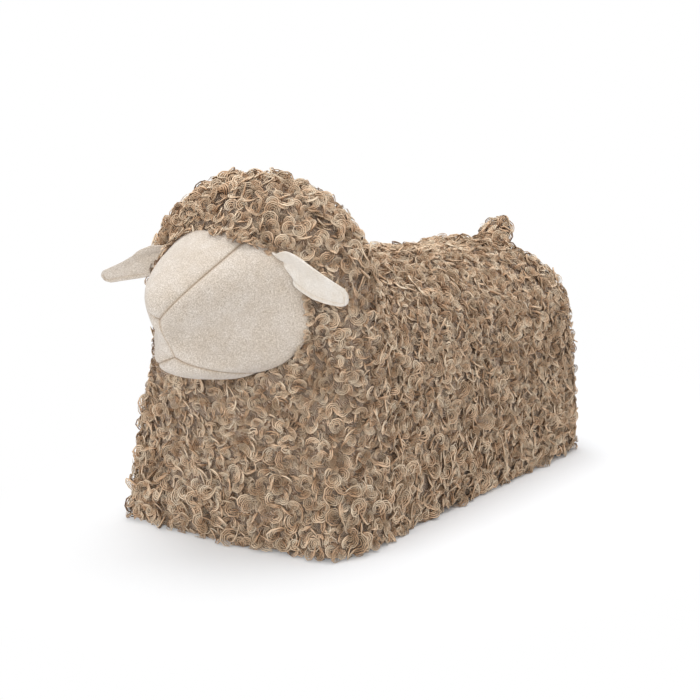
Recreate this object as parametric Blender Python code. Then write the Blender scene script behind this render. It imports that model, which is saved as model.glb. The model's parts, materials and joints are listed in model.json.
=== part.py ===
"""Curly-fleece sheep footstool without legs, built as a sewn cover over foam and a plywood frame.

Lengths are in metres and +Z is up. The sheep faces -Y and its left flank is at +X. The origin lies on
the floor, under the middle of the whole sheep from nose to tail.
"""

import math

import bmesh
import bpy
import numpy as np
from mathutils import Vector

# Body: a loaf with straight base edges, leaning breast and a rounded back
BODY_HALF_WIDTH = 0.143
BODY_HALF_LENGTH = 0.288
BODY_BEHIND_MIDDLE = 0.032
BACK_HEIGHT = 0.284
BACK_RADIUS = 0.106
CORNER_RADIUS = 0.018
SIDE_SWELL = 0.0052
SIDE_LEAN = 0.0253
BREAST_SWELL = 0.013
BREAST_LEAN = 0.0887
RUMP_SWELL = 0.0092
RUMP_LEAN = 0.0045
BACK_DIP = 0.009
BACK_DIP_LENGTH = 0.058
BACK_DIP_BEHIND_BODY_MIDDLE = 0.146

# Head and neck: an upright egg that flares into the shoulders
HEAD_SETBACK = 0.0692
HEAD_MIDDLE_HEIGHT = 0.246
HEAD_HALF_WIDTH = 0.1355
HEAD_HALF_LENGTH = 0.086
HEAD_RISE = 0.1365
NECK_FOOT_INSET = 0.005
HEAD_SQUARENESS_SHARE = 2.17
NECK_FLARE_SHARE = 1.5
NECK_WAIST = 0.017
NECK_TUCK = 0.020
NECK_BLEND = 0.055

# Covers and the clearances between pieces
FLEECE = 0.012
FELT = 0.0025
SEAM_PULL = 0.0003
FIT = 0.0003
PADDING_FIT = 0.0006
FILLING_FIT = 0.0008
HEM_HEIGHT = 0.003

# Face opening and muzzle, set out from the middle and the front of the head
FACE_HALF_WIDTH = 0.105
FACE_RISE = 0.0827
FACE_DROP = 0.066
FACE_SQUARENESS_SHARE = 2.2
NOSE_STANDS_OUT = 0.0738
NOSE_ABOVE_MIDDLE = 0.004
MOUTH_STANDS_OUT = 0.0538
MOUTH_BELOW_NOSE = 0.042
BROW_HALF_WIDTH = 0.0405
JAW_HALF_WIDTH = 0.0545
MUZZLE_HEART_SETBACK = 0.025
BROW_CURVE_SHARES = (0.31, 1.41, 0.79)
CHEEK_CURVE_SHARES = (0.37, 0.28, 0.71)
CHIN_CURVE_SHARES = (0.16, 1.20, 0.20)

# Ears, each a felt leaf sewn into the seam between face and fleece
EAR_ROOT_TOP_DEG = 42
EAR_ROOT_LOW_DEG = 65
EAR_LENGTH = 0.080
EAR_DROOP_DEG = 20
EAR_FORWARD_DEG = 3
EAR_ROOT_CLEARANCE = 0.0009
EAR_LAYER = 0.0022
EAR_LAYER_GAP = 0.0003
EAR_PUFF = 0.0012
EAR_TOP_WIDTH = 0.0178
EAR_LOW_WIDTH = 0.0140

# Tail, a short stuffed stub at the top of the rump
TAIL_SETBACK = 0.022
TAIL_LENGTH = 0.078
TAIL_HALF_WIDTH = 0.029
TAIL_HALF_THICKNESS = 0.015
TAIL_TILT_DEG = 45

# Foam thickness between the cover's surface and the frame
SIDE_PADDING = 0.047
FRONT_PADDING = 0.098
REAR_PADDING = 0.043
BACK_PADDING = 0.072
HEAD_PADDING = 0.051

# Plywood frame, its screws and the underside
BOARD = 0.012
GLIDE_HEIGHT = 0.006
GLIDE_RADIUS = 0.011
GLIDE_EDGE = 0.053
GLIDE_NAIL_RADIUS = 0.0016
GLIDE_NAIL_LENGTH = 0.009
POST_HALF_WIDTH = 0.030
POST_CROWN_RADIUS = 0.020
SCREW_RADIUS = 0.0022
SCREW_HEAD_RADIUS = 0.0045
SCREW_LENGTH = 0.040
SCREW_FROM_END = 0.036
POST_SCREW_LENGTH = 0.022
POST_SCREW_SPACING = 0.090
CLOTH = 0.0012
HEM_BAND = 0.0024
HEM_BAND_WIDTH = 0.022

# Where the neck foam parts from the body foam
NECK_CUT_OVER_SEAT = 0.005
NECK_CUT_RISE_DEG = 23

# Fineness of the soft surfaces
BODY_CELLS_ACROSS = 10
BODY_CELLS_ALONG = 22
BODY_CELLS_UP = 10
CROWN_CELLS = 8
FACE_RINGS = 7
FACE_CELLS = (4, 8, 6)
EAR_CELLS = 6

PROBE = BODY_HALF_WIDTH / 2000
FAR_OUT = 2 * BODY_HALF_LENGTH

SKIN = FLEECE + PADDING_FIT
BOARD_LOW = GLIDE_HEIGHT + FIT
BOARD_TOP = BOARD_LOW + BOARD
FRAME_LOW = BOARD_TOP + FIT
FRAME_HALF_WIDTH = BODY_HALF_WIDTH - SIDE_PADDING
FRAME_FRONT = BODY_BEHIND_MIDDLE - BODY_HALF_LENGTH + FRONT_PADDING
FRAME_REAR = BODY_BEHIND_MIDDLE + BODY_HALF_LENGTH - REAR_PADDING
SEAT_TOP = BACK_HEIGHT - BACK_PADDING
SEAT_LOW = SEAT_TOP - BOARD
HEAD_Y = BODY_BEHIND_MIDDLE - BODY_HALF_LENGTH + HEAD_SETBACK
HEAD_FRONT = HEAD_Y - HEAD_HALF_LENGTH
POST_TOP = HEAD_MIDDLE_HEIGHT + HEAD_RISE - HEAD_PADDING
NOSE = (0, HEAD_FRONT - NOSE_STANDS_OUT, HEAD_MIDDLE_HEIGHT + NOSE_ABOVE_MIDDLE)
MOUTH = (0, HEAD_FRONT - MOUTH_STANDS_OUT, NOSE[2] - MOUTH_BELOW_NOSE)
EAR_HALF_ROOT = EAR_LAYER_GAP / 2 + EAR_LAYER

FLEECE_BROWN = (0.29, 0.20, 0.135, 1)
FELT_CREAM = (0.78, 0.70, 0.60, 1)
FOAM_CREAM = (0.85, 0.78, 0.52, 1)
FILLING_WHITE = (0.88, 0.88, 0.86, 1)
PLYWOOD_TAN = (0.62, 0.45, 0.27, 1)
CLOTH_BLACK = (0.03, 0.03, 0.035, 1)
GLIDE_BROWN = (0.12, 0.08, 0.06, 1)
STEEL_GREY = (0.55, 0.55, 0.57, 1)


def clear_scene():
    for item in list(bpy.data.objects):
        bpy.data.objects.remove(item, do_unlink=True)


def make_material(name, colour, roughness, metallic=0.0):
    material = bpy.data.materials.new(name)
    material.use_nodes = True
    shader = material.node_tree.nodes["Principled BSDF"]
    shader.inputs["Base Color"].default_value = colour
    shader.inputs["Roughness"].default_value = roughness
    shader.inputs["Metallic"].default_value = metallic
    return material


def make_materials():
    return {
        "fleece": make_material("curly_fleece", FLEECE_BROWN, 0.95),
        "felt": make_material("cream_felt", FELT_CREAM, 0.9),
        "foam": make_material("padding_foam", FOAM_CREAM, 0.9),
        "filling": make_material("fibre_filling", FILLING_WHITE, 0.95),
        "plywood": make_material("birch_plywood", PLYWOOD_TAN, 0.6),
        "cloth": make_material("underside_cloth", CLOTH_BLACK, 0.85),
        "glide": make_material("glide_plastic", GLIDE_BROWN, 0.45),
        "steel": make_material("zinc_steel", STEEL_GREY, 0.35, 1.0),
    }


def add_object(name, mesh_data, material):
    """Turn a bmesh into a named object with outward faces."""
    bmesh.ops.recalc_face_normals(mesh_data, faces=mesh_data.faces[:])
    mesh = bpy.data.meshes.new(name)
    mesh_data.to_mesh(mesh)
    mesh_data.free()
    item = bpy.data.objects.new(name, mesh)
    bpy.context.scene.collection.objects.link(item)
    mesh.materials.append(material)
    mesh.shade_smooth()
    mesh.set_sharp_from_angle(angle=math.radians(35))
    return item


# The form of the sheep, as a field that is below zero inside

def corner_round(first, second, radius):
    """Join two distances into a rounded inside corner of the given radius."""
    outside = np.hypot(np.clip(first + radius, 0, None), np.clip(second + radius, 0, None))
    return outside + np.clip(np.maximum(first, second) + radius, None, 0) - radius


def body_field(points):
    x, y, z = points.T
    y = y - BODY_BEHIND_MIDDLE
    rise = np.clip(z / BACK_HEIGHT, 0, 1.2)
    swell = 4 * rise * (1 - rise)
    half_width = BODY_HALF_WIDTH + SIDE_SWELL * swell - SIDE_LEAN * rise
    front = BODY_HALF_LENGTH + BREAST_SWELL * swell - BREAST_LEAN * rise
    rear = BODY_HALF_LENGTH + RUMP_SWELL * swell - RUMP_LEAN * rise
    past_end = np.where(y < 0, -y - front, y - rear)
    walls = corner_round(np.abs(x) - half_width, past_end, CORNER_RADIUS)
    dip = BACK_DIP * np.exp(-((y - BACK_DIP_BEHIND_BODY_MIDDLE) / BACK_DIP_LENGTH) ** 2)
    return corner_round(walls, z - BACK_HEIGHT + dip, BACK_RADIUS)


def head_field(points):
    x, y, z = points.T
    above = np.clip(z - HEAD_MIDDLE_HEIGHT, 0, None) / HEAD_RISE
    below = np.clip(HEAD_MIDDLE_HEIGHT - z, 0, None) / HEAD_MIDDLE_HEIGHT
    flare = BODY_HALF_WIDTH - NECK_FOOT_INSET - HEAD_HALF_WIDTH
    waist = 4 * NECK_WAIST * below * (1 - below)
    half_width = HEAD_HALF_WIDTH + flare * below ** NECK_FLARE_SHARE - waist
    half_length = HEAD_HALF_LENGTH - NECK_TUCK * below
    power = HEAD_SQUARENESS_SHARE
    total = np.abs(x / half_width) ** power + np.abs((y - HEAD_Y) / half_length) ** power + above ** power
    return (total ** (1 / power) - 1) * half_width


def sheep_field(points):
    """Body and head melted together over the neck blend."""
    body = body_field(points)
    head = head_field(points)
    mix = np.clip(0.5 + 0.5 * (head - body) / NECK_BLEND, 0, 1)
    return head + (body - head) * mix - NECK_BLEND * mix * (1 - mix)


def field_slope(points, level_base=None):
    """The field's outward slope at each point, level where the base ring is marked."""
    shifts = np.eye(3) * PROBE
    slope = np.stack([sheep_field(points + shift) - sheep_field(points - shift) for shift in shifts], -1)
    slope = slope / (2 * PROBE)
    if level_base is not None:
        slope[level_base, 2] = 0
    return slope


def unit(vectors):
    return vectors / np.linalg.norm(vectors, axis=-1, keepdims=True)


def settle(points, level_base, passes=10):
    """Move points onto the sheep's outer surface, along the field's slope."""
    for _ in range(passes):
        slope = field_slope(points, level_base)
        step = sheep_field(points) / (slope * slope).sum(-1)
        points = points - step[:, None] * slope
    return points


def distance(points):
    """Distance from the sheep's outer surface, below zero inside."""
    return sheep_field(points) / np.linalg.norm(field_slope(points), axis=-1)


def search(inside, outside, level=0.0):
    """Find where the distance reaches a level between inner and outer points."""
    low = np.zeros(len(inside))
    high = np.ones(len(inside))
    for _ in range(40):
        middle = (low + high) / 2
        within = distance(inside + (outside - inside) * middle[:, None]) < level
        low = np.where(within, middle, low)
        high = np.where(within, high, middle)
    return inside + (outside - inside) * low[:, None]


def top_height(y):
    """Height of the sheep's top line at each y."""
    low = np.stack([0 * y, y, 0 * y + BOARD_TOP], -1)
    high = np.stack([0 * y, y, 0 * y + 2 * BACK_HEIGHT], -1)
    return search(low, high)[:, 2]


def front_point(x, z, level=0.0):
    """Where a line along Y through (x, z) leaves the sheep's front, at a level of the field."""
    x, z = np.atleast_1d(x), np.atleast_1d(z)
    inside = np.stack([x, 0 * x + HEAD_Y, z], -1)
    outside = np.stack([x, 0 * x - FAR_OUT, z], -1)
    return search(inside, outside, level)


# The net of cells that is laid over the form

def box_net():
    """Corner shares and four-sided cells of a box without its bottom, each side's cells in a list."""
    counts = (BODY_CELLS_ACROSS, BODY_CELLS_ALONG, BODY_CELLS_UP)
    numbers = {}
    cells = {"left": [], "right": [], "front": [], "rear": [], "top": []}
    walls = ((0, 0, "right"), (0, counts[0], "left"), (1, 0, "front"), (1, counts[1], "rear"),
             (2, counts[2], "top"))
    for fixed, place, side in walls:
        first, second = [axis for axis in range(3) if axis != fixed]
        for a in range(counts[first]):
            for b in range(counts[second]):
                cell = []
                for da, db in ((0, 0), (1, 0), (1, 1), (0, 1)):
                    key = [0, 0, 0]
                    key[fixed] = place
                    key[first] = a + da
                    key[second] = b + db
                    cell.append(numbers.setdefault(tuple(key), len(numbers)))
                cells[side].append(cell)
    shares = np.array(list(numbers), float) / np.array(counts)
    return shares, cells


def net_neighbours(cells, count):
    near = [set() for _ in range(count)]
    for side in cells.values():
        for cell in side:
            for a, b in zip(cell, cell[1:] + cell[:1]):
                near[a].add(b)
                near[b].add(a)
    return [sorted(found) for found in near]


def lay_net():
    """Spread the net evenly over the form and return points, cells and the base ring."""
    shares, cells = box_net()
    base = shares[:, 2] == 0
    near = net_neighbours(cells, len(shares))
    y = BODY_BEHIND_MIDDLE + (2 * shares[:, 1] - 1) * 0.95 * BODY_HALF_LENGTH
    z = HEM_HEIGHT + shares[:, 2] * (0.97 * top_height(y) - HEM_HEIGHT)
    x = (2 * shares[:, 0] - 1) * 0.9 * BODY_HALF_WIDTH
    points = settle(np.stack([x, y, z], -1), base)
    for _ in range(12):
        mean = np.array([points[found].mean(0) for found in near])
        mean[base, 2] = HEM_HEIGHT
        points = settle((points + mean) / 2, base, 3)
    return points, cells, base


def cell_way(points, cell, away):
    """Turn a cell so that its corners run the same way round, seen from outside."""
    corners = points[cell]
    normal = np.cross(corners[1] - corners[0], corners[2] - corners[0])
    return cell if normal @ away[cell].mean(0) > 0 else cell[::-1]


def triangles(cell):
    """A cell as triangles, split the same way on every layer so that the layers stay parallel."""
    return [[cell[0], a, b] for a, b in zip(cell[1:], cell[2:])]


def pull_in(points, cells, away):
    """Draw the rim of a panel in from the seam, along the panel's own surface."""
    sides = {}
    for cell in cells:
        for a, b in zip(cell, cell[1:] + cell[:1]):
            sides.setdefault(frozenset((a, b)), []).append(cell)
    rim = {corner for edge, owners in sides.items() if len(owners) == 1 for corner in edge}
    moved = points.copy()
    for corner in rim:
        middles = [points[cell].mean(0) for cell in cells if corner in cell]
        inward = np.mean(middles, 0) - points[corner]
        inward = inward - away[corner] * (inward @ away[corner])
        moved[corner] = points[corner] + SEAM_PULL * inward / np.linalg.norm(inward)
    return moved


def sewn_panel(name, points, away, cells, near_depth, far_depth, material):
    """A cover panel between two depths under the outer surface, with an upright rim."""
    cells = [cell_way(points, cell, away) for cell in cells]
    drawn = pull_in(points, cells, away)
    used = sorted({corner for cell in cells for corner in cell})
    mesh_data = bmesh.new()
    outer = {k: mesh_data.verts.new(drawn[k] - near_depth * away[k]) for k in used}
    inner = {k: mesh_data.verts.new(drawn[k] - far_depth * away[k]) for k in used}
    count = {}
    for cell in cells:
        for half in triangles(cell):
            mesh_data.faces.new([outer[k] for k in half])
            mesh_data.faces.new([inner[k] for k in reversed(half)])
        for a, b in zip(cell, cell[1:] + cell[:1]):
            count[(a, b)] = count.get((a, b), 0) + 1
    for a, b in count:
        if (b, a) not in count:
            first, last = min(a, b), max(a, b)
            mesh_data.faces.new([outer[first], outer[last], inner[last]])
            mesh_data.faces.new([outer[first], inner[last], inner[first]])
    return add_object(name, mesh_data, material)


# Solids that fill, cut and trim

def closed_form(net, depth):
    """The whole form at one depth as a closed bmesh with a flat base."""
    points, cells, base = net
    away = unit(field_slope(points, base))
    mesh_data = bmesh.new()
    verts = [mesh_data.verts.new(point) for point in points - depth * away]
    for side in cells.values():
        for cell in side:
            for half in triangles(cell_way(points, cell, away)):
                mesh_data.faces.new([verts[k] for k in half])
    edges = [edge for edge in mesh_data.edges if edge.is_boundary]
    bmesh.ops.holes_fill(mesh_data, edges=edges, sides=0)
    return mesh_data


def keep_side(mesh_data, place, normal):
    """Cut a closed mesh by a plane, keep what lies against the normal and close the cut."""
    geometry = mesh_data.verts[:] + mesh_data.edges[:] + mesh_data.faces[:]
    bmesh.ops.bisect_plane(mesh_data, geom=geometry, dist=PROBE / 100, plane_co=place, plane_no=normal,
                           clear_outer=True)
    edges = [edge for edge in mesh_data.edges if edge.is_boundary]
    bmesh.ops.holes_fill(mesh_data, edges=edges, sides=0)


def add_cutter(name, mesh_data, material):
    cutter = add_object(name, mesh_data, material)
    cutter.hide_render = True
    cutter.display_type = "WIRE"
    return cutter


def cut_away(item, cutter):
    change = item.modifiers.new("cut_" + cutter.name, "BOOLEAN")
    change.operation = "DIFFERENCE"
    change.solver = "EXACT"
    change.object = cutter


def block(low, high):
    """A plain block between two corners."""
    mesh_data = bmesh.new()
    bmesh.ops.create_cube(mesh_data, size=1)
    low, high = Vector(low), Vector(high)
    size = high - low
    middle = (low + high) / 2
    for vert in mesh_data.verts:
        vert.co = Vector(c * s for c, s in zip(vert.co, size)) + middle
    return mesh_data


def turned(profile, centre, axis, sides):
    """Turn a profile of (radius, way along the axis) pairs into a closed round solid."""
    axis = Vector(axis).normalized()
    across = axis.orthogonal().normalized()
    other = axis.cross(across)
    mesh_data = bmesh.new()
    rings = []
    for radius, way in profile:
        middle = Vector(centre) + axis * way
        angles = [math.tau * k / sides for k in range(sides)]
        rings.append([mesh_data.verts.new(middle + radius * (across * math.cos(a) + other * math.sin(a)))
                      for a in angles])
    for lower, upper in zip(rings, rings[1:]):
        for k in range(sides):
            n = (k + 1) % sides
            mesh_data.faces.new([lower[k], lower[n], upper[n], upper[k]])
    mesh_data.faces.new(rings[0][::-1])
    mesh_data.faces.new(rings[-1])
    return mesh_data


def slab(outline, low, high):
    """A flat sheet or board with the given outline, between two heights."""
    mesh_data = bmesh.new()
    lower = [mesh_data.verts.new((x, y, low)) for x, y in outline]
    upper = [mesh_data.verts.new((x, y, high)) for x, y in outline]
    mesh_data.faces.new(lower[::-1])
    mesh_data.faces.new(upper)
    for k in range(len(outline)):
        n = (k + 1) % len(outline)
        mesh_data.faces.new([lower[k], lower[n], upper[n], upper[k]])
    return mesh_data


def base_outline(inset, arc_cells=5):
    """Rounded rectangle of the base, drawn in from the fleece's outer edge."""
    rise = BOARD_TOP / BACK_HEIGHT
    half_width = BODY_HALF_WIDTH - SIDE_LEAN * rise - inset
    front = BODY_HALF_LENGTH - BREAST_LEAN * rise - inset
    rear = BODY_HALF_LENGTH - RUMP_LEAN * rise - inset
    radius = max(CORNER_RADIUS - inset, CORNER_RADIUS / 3)
    corners = ((1, 1, 0), (-1, 1, 90), (-1, -1, 180), (1, -1, 270))
    outline = []
    for way_x, way_y, start in corners:
        end = rear if way_y > 0 else front
        middle_x = way_x * (half_width - radius)
        middle_y = BODY_BEHIND_MIDDLE + way_y * (end - radius)
        for k in range(arc_cells + 1):
            angle = math.radians(start + 90 * k / arc_cells)
            outline.append((middle_x + radius * math.cos(angle), middle_y + radius * math.sin(angle)))
    return outline


# Plywood frame

def glide_places():
    """The four glide centres, by name."""
    across = BODY_HALF_WIDTH - GLIDE_EDGE
    ahead = BODY_HALF_LENGTH - GLIDE_EDGE
    return {
        "front_left": (across, BODY_BEHIND_MIDDLE - ahead),
        "front_right": (-across, BODY_BEHIND_MIDDLE - ahead),
        "rear_left": (across, BODY_BEHIND_MIDDLE + ahead),
        "rear_right": (-across, BODY_BEHIND_MIDDLE + ahead),
    }


def base_screw_places():
    """The four screws that rise through the base board into the frame's side boards."""
    across = FRAME_HALF_WIDTH - BOARD / 2
    front = FRAME_FRONT + SCREW_FROM_END
    rear = FRAME_REAR - SCREW_FROM_END
    return {
        "front_left": (across, front),
        "front_right": (-across, front),
        "rear_left": (across, rear),
        "rear_right": (-across, rear),
    }


def screw_solid(centre, axis, length, clearance=0.0):
    """A countersunk screw whose head starts at the centre and whose shank runs along the axis."""
    head = SCREW_HEAD_RADIUS + clearance
    shank = SCREW_RADIUS + clearance
    cone = head - shank
    profile = [(head, -clearance), (head, SCREW_RADIUS / 3), (shank, SCREW_RADIUS / 3 + cone),
               (shank, length - 2 * SCREW_RADIUS + clearance), (shank / 3, length + clearance)]
    return turned(profile, centre, axis, 8)


def base_slice(net, low, high):
    """A board or band that fills the cover's inside between two heights."""
    mesh_data = closed_form(net, SKIN)
    keep_side(mesh_data, Vector((0, 0, high)), Vector((0, 0, 1)))
    keep_side(mesh_data, Vector((0, 0, low)), Vector((0, 0, -1)))
    return mesh_data


def base_board(net, materials):
    board = add_object("base_board", base_slice(net, BOARD_LOW, BOARD_TOP), materials["plywood"])
    for name, (x, y) in glide_places().items():
        hole = turned([(GLIDE_NAIL_RADIUS + FIT, -BOARD), (GLIDE_NAIL_RADIUS + FIT, 2 * BOARD)],
                      (x, y, BOARD_LOW), (0, 0, 1), 8)
        cut_away(board, add_cutter("nail_hole_" + name, hole, materials["plywood"]))
    return board


def frame_boards(materials):
    """Four upright boards and the seat board, with pilot holes for their screws."""
    plywood = materials["plywood"]
    inner = FRAME_HALF_WIDTH - BOARD
    sides = {
        "frame_side_left": block((inner, FRAME_FRONT, FRAME_LOW), (FRAME_HALF_WIDTH, FRAME_REAR, SEAT_LOW)),
        "frame_side_right": block((-FRAME_HALF_WIDTH, FRAME_FRONT, FRAME_LOW), (-inner, FRAME_REAR, SEAT_LOW)),
    }
    boards = {name: add_object(name, mesh_data, plywood) for name, mesh_data in sides.items()}
    span = inner - FIT
    front = block((-span, FRAME_FRONT, FRAME_LOW), (span, FRAME_FRONT + BOARD, SEAT_LOW))
    rear = block((-span, FRAME_REAR - BOARD, FRAME_LOW), (span, FRAME_REAR, SEAT_LOW))
    seat = block((-FRAME_HALF_WIDTH, FRAME_FRONT, SEAT_LOW + FIT), (FRAME_HALF_WIDTH, FRAME_REAR, SEAT_TOP))
    boards["frame_front"] = add_object("frame_front", front, plywood)
    boards["frame_rear"] = add_object("frame_rear", rear, plywood)
    boards["seat_board"] = add_object("seat_board", seat, plywood)
    return boards


def base_screws(materials, board, boards):
    for name, (x, y) in base_screw_places().items():
        centre = (x, y, BOARD_LOW + FIT)
        add_object("base_screw_" + name, screw_solid(centre, (0, 0, 1), SCREW_LENGTH), materials["steel"])
        hole = screw_solid(centre, (0, 0, 1), SCREW_LENGTH, FIT)
        cutter = add_cutter("base_screw_hole_" + name, hole, materials["plywood"])
        cut_away(board, cutter)
        side = "left" if x > 0 else "right"
        cut_away(boards["frame_side_" + side], cutter)


def neck_post(materials, boards):
    """An upright board on the frame's front that holds the neck and head."""
    rear = FRAME_FRONT - FIT
    width = POST_HALF_WIDTH
    radius = POST_CROWN_RADIUS
    outline = [(-width, FRAME_LOW), (width, FRAME_LOW)]
    for way, start in ((1, 0), (-1, 90)):
        for k in range(5):
            angle = math.radians(start + 22.5 * k)
            outline.append((way * (width - radius) + radius * math.cos(angle),
                            POST_TOP - radius + radius * math.sin(angle)))
    mesh_data = bmesh.new()
    near = [mesh_data.verts.new((x, rear - BOARD, z)) for x, z in outline]
    far = [mesh_data.verts.new((x, rear, z)) for x, z in outline]
    mesh_data.faces.new(near)
    mesh_data.faces.new(far[::-1])
    for k in range(len(outline)):
        n = (k + 1) % len(outline)
        mesh_data.faces.new([near[k], far[k], far[n], near[n]])
    post = add_object("neck_post", mesh_data, materials["plywood"])
    middle = (FRAME_LOW + SEAT_LOW) / 2
    for name, way in (("low", -1), ("high", 1)):
        centre = (0, rear - BOARD + FIT, middle + way * POST_SCREW_SPACING / 2)
        add_object("neck_screw_" + name, screw_solid(centre, (0, 1, 0), POST_SCREW_LENGTH), materials["steel"])
        hole = screw_solid(centre, (0, 1, 0), POST_SCREW_LENGTH, FIT)
        cutter = add_cutter("neck_screw_hole_" + name, hole, materials["plywood"])
        cut_away(post, cutter)
        cut_away(boards["frame_front"], cutter)


def glides(materials):
    """Low plastic glides, each with its nail driven up into the base board."""
    edge = GLIDE_RADIUS - GLIDE_HEIGHT / 4
    profile = [(edge, 0), (GLIDE_RADIUS, GLIDE_HEIGHT / 4), (GLIDE_RADIUS, GLIDE_HEIGHT),
               (GLIDE_NAIL_RADIUS, GLIDE_HEIGHT), (GLIDE_NAIL_RADIUS, GLIDE_HEIGHT + GLIDE_NAIL_LENGTH)]
    for name, (x, y) in glide_places().items():
        add_object("glide_" + name, turned(profile, (x, y, 0), (0, 0, 1), 12), materials["glide"])


def underside(net, materials):
    """The fleece's turned-under band and the thin cloth that closes the underside within it."""
    top = BOARD_LOW - FIT
    band = add_object("fleece_hem_band", base_slice(net, top - HEM_BAND, top), materials["fleece"])
    inside = slab(base_outline(SKIN + HEM_BAND_WIDTH), 0, BOARD_TOP)
    cut_away(band, add_cutter("hem_band_inside", inside, materials["fleece"]))
    cloth = slab(base_outline(SKIN + HEM_BAND_WIDTH + FIT), top - CLOTH, top)
    cloth = add_object("underside_cloth", cloth, materials["cloth"])
    for name, (x, y) in glide_places().items():
        hole = turned([(GLIDE_RADIUS + FIT, -CLOTH), (GLIDE_RADIUS + FIT, BOARD)], (x, y, GLIDE_HEIGHT / 3),
                      (0, 0, 1), 16)
        cut_away(cloth, add_cutter("glide_hole_" + name, hole, materials["cloth"]))


# Face

def face_angles():
    """Angles, clockwise from the top, of the face's outline corners, by panel."""
    power = FACE_SQUARENESS_SHARE / 2
    brow = math.asin((BROW_HALF_WIDTH / FACE_HALF_WIDTH) ** power)
    jaw = math.pi - math.asin((JAW_HALF_WIDTH / FACE_HALF_WIDTH) ** power)
    top, side, low = FACE_CELLS
    return {
        "face_forehead": np.linspace(-brow, brow, top + 1),
        "face_cheek_left": np.linspace(brow, jaw, side + 1),
        "face_chin": np.linspace(jaw, math.tau - jaw, low + 1),
        "face_cheek_right": np.linspace(-jaw, -brow, side + 1),
    }


def face_outline(angles, spare=0.0):
    """Where the face meets the fleece, on the sheep's outer surface."""
    power = 2 / FACE_SQUARENESS_SHARE
    sine, cosine = np.sin(angles), np.cos(angles)
    half_height = np.where(cosine > 0, FACE_RISE, FACE_DROP) + spare
    x = (FACE_HALF_WIDTH + spare) * np.sign(sine) * np.abs(sine) ** power
    z = HEAD_MIDDLE_HEIGHT + half_height * np.sign(cosine) * np.abs(cosine) ** power
    return front_point(x, z)


def face_net(name, angles):
    """Points, inward ways and cells of one face panel, from the outline to the nose or mouth."""
    outline = face_outline(angles)
    nose = np.array(NOSE)
    mouth = np.array(MOUTH)
    way_down = np.linspace(0, 1, len(angles))
    if name == "face_forehead":
        way_down = 0 * way_down
    elif name == "face_chin":
        way_down = 0 * way_down + 1
    elif name == "face_cheek_right":
        way_down = way_down[::-1]
    ridge = nose + (mouth - nose) * way_down[:, None]
    sideways = np.sin(angles)[:, None] ** 2
    upright = np.where(np.cos(angles)[:, None] > 0, BROW_CURVE_SHARES, CHIN_CURVE_SHARES)
    control = outline + (ridge - outline) * (upright + (CHEEK_CURVE_SHARES - upright) * sideways)
    shares = np.linspace(0, 1, FACE_RINGS + 1)[:, None, None]
    points = outline * (1 - shares) ** 2 + 2 * control * shares * (1 - shares) + ridge * shares ** 2
    wide = len(angles)
    one_tip = name in ("face_forehead", "face_chin")
    last = FACE_RINGS * wide
    cells = []
    for ring in range(FACE_RINGS):
        for k in range(wide - 1):
            lower = [ring * wide + k, ring * wide + k + 1]
            if one_tip and ring == FACE_RINGS - 1:
                cells.append(lower + [last])
            else:
                cells.append(lower + [lower[1] + wide, lower[0] + wide])
    points = points.reshape(-1, 3)
    heart = np.array([0, HEAD_FRONT + MUZZLE_HEART_SETBACK, (NOSE[2] + MOUTH[2]) / 2])
    return points, unit(points - heart), cells


def face_panels(materials):
    for name, angles in face_angles().items():
        points, away, cells = face_net(name, angles)
        sewn_panel(name, points, away, cells, 0.0, FELT, materials["felt"])


def opening_reach():
    """How far under the outer surface the face opening is cut, clear of the fleece's inner side."""
    return FLEECE + 2 * FELT


def face_filling(net, materials):
    """Fibre filling behind the felt, cut to the head foam that it rests on."""
    mesh_data = bmesh.new()
    depth = FELT + FILLING_FIT
    middle = front_point(0, HEAD_MIDDLE_HEIGHT, -opening_reach())[0]
    for name, angles in face_angles().items():
        points, away, cells = face_net(name, angles)
        front = [mesh_data.verts.new(point) for point in points - depth * away]
        for cell in cells:
            for half in triangles(cell_way(points, cell, away)):
                mesh_data.faces.new([front[k] for k in half])
        outline = face_outline(angles, -depth)
        rear = outline - opening_reach() * unit(field_slope(outline))
        rear = [mesh_data.verts.new(point) for point in rear]
        centre = mesh_data.verts.new(middle)
        for k in range(len(angles) - 1):
            mesh_data.faces.new([front[k], front[k + 1], rear[k + 1], rear[k]])
            mesh_data.faces.new([rear[k], rear[k + 1], centre])
    loose = [vert for vert in mesh_data.verts if not vert.link_faces]
    bmesh.ops.delete(mesh_data, geom=loose, context="VERTS")
    bmesh.ops.remove_doubles(mesh_data, verts=mesh_data.verts[:], dist=PROBE)
    filling = add_object("face_filling", mesh_data, materials["filling"])
    head_seat = add_cutter("head_seat", closed_form(net, SKIN - FIT), materials["foam"])
    cut_away(filling, head_seat)


def face_opening_cutter(materials):
    """A plug through the fleece, square to its surface, a seam wider than the face."""
    angles = np.concatenate([way[:-1] for way in face_angles().values()])
    angles = np.sort(np.mod(angles, math.tau))
    outline = face_outline(angles, FIT)
    away = unit(field_slope(outline))
    mesh_data = bmesh.new()
    front = [mesh_data.verts.new(point) for point in outline + FLEECE / 2 * away]
    rear = [mesh_data.verts.new(point) for point in outline - opening_reach() * away]
    count = len(outline)
    for ring, shift in ((front, 3 * FLEECE), (rear, -opening_reach())):
        middle = mesh_data.verts.new(front_point(0, HEAD_MIDDLE_HEIGHT, shift)[0])
        for k in range(count):
            mesh_data.faces.new([ring[k], ring[(k + 1) % count], middle])
    for k in range(count):
        n = (k + 1) % count
        mesh_data.faces.new([front[k], front[n], rear[n], rear[k]])
    return add_cutter("face_opening", mesh_data, materials["fleece"])


# Fleece cover and foam

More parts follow.
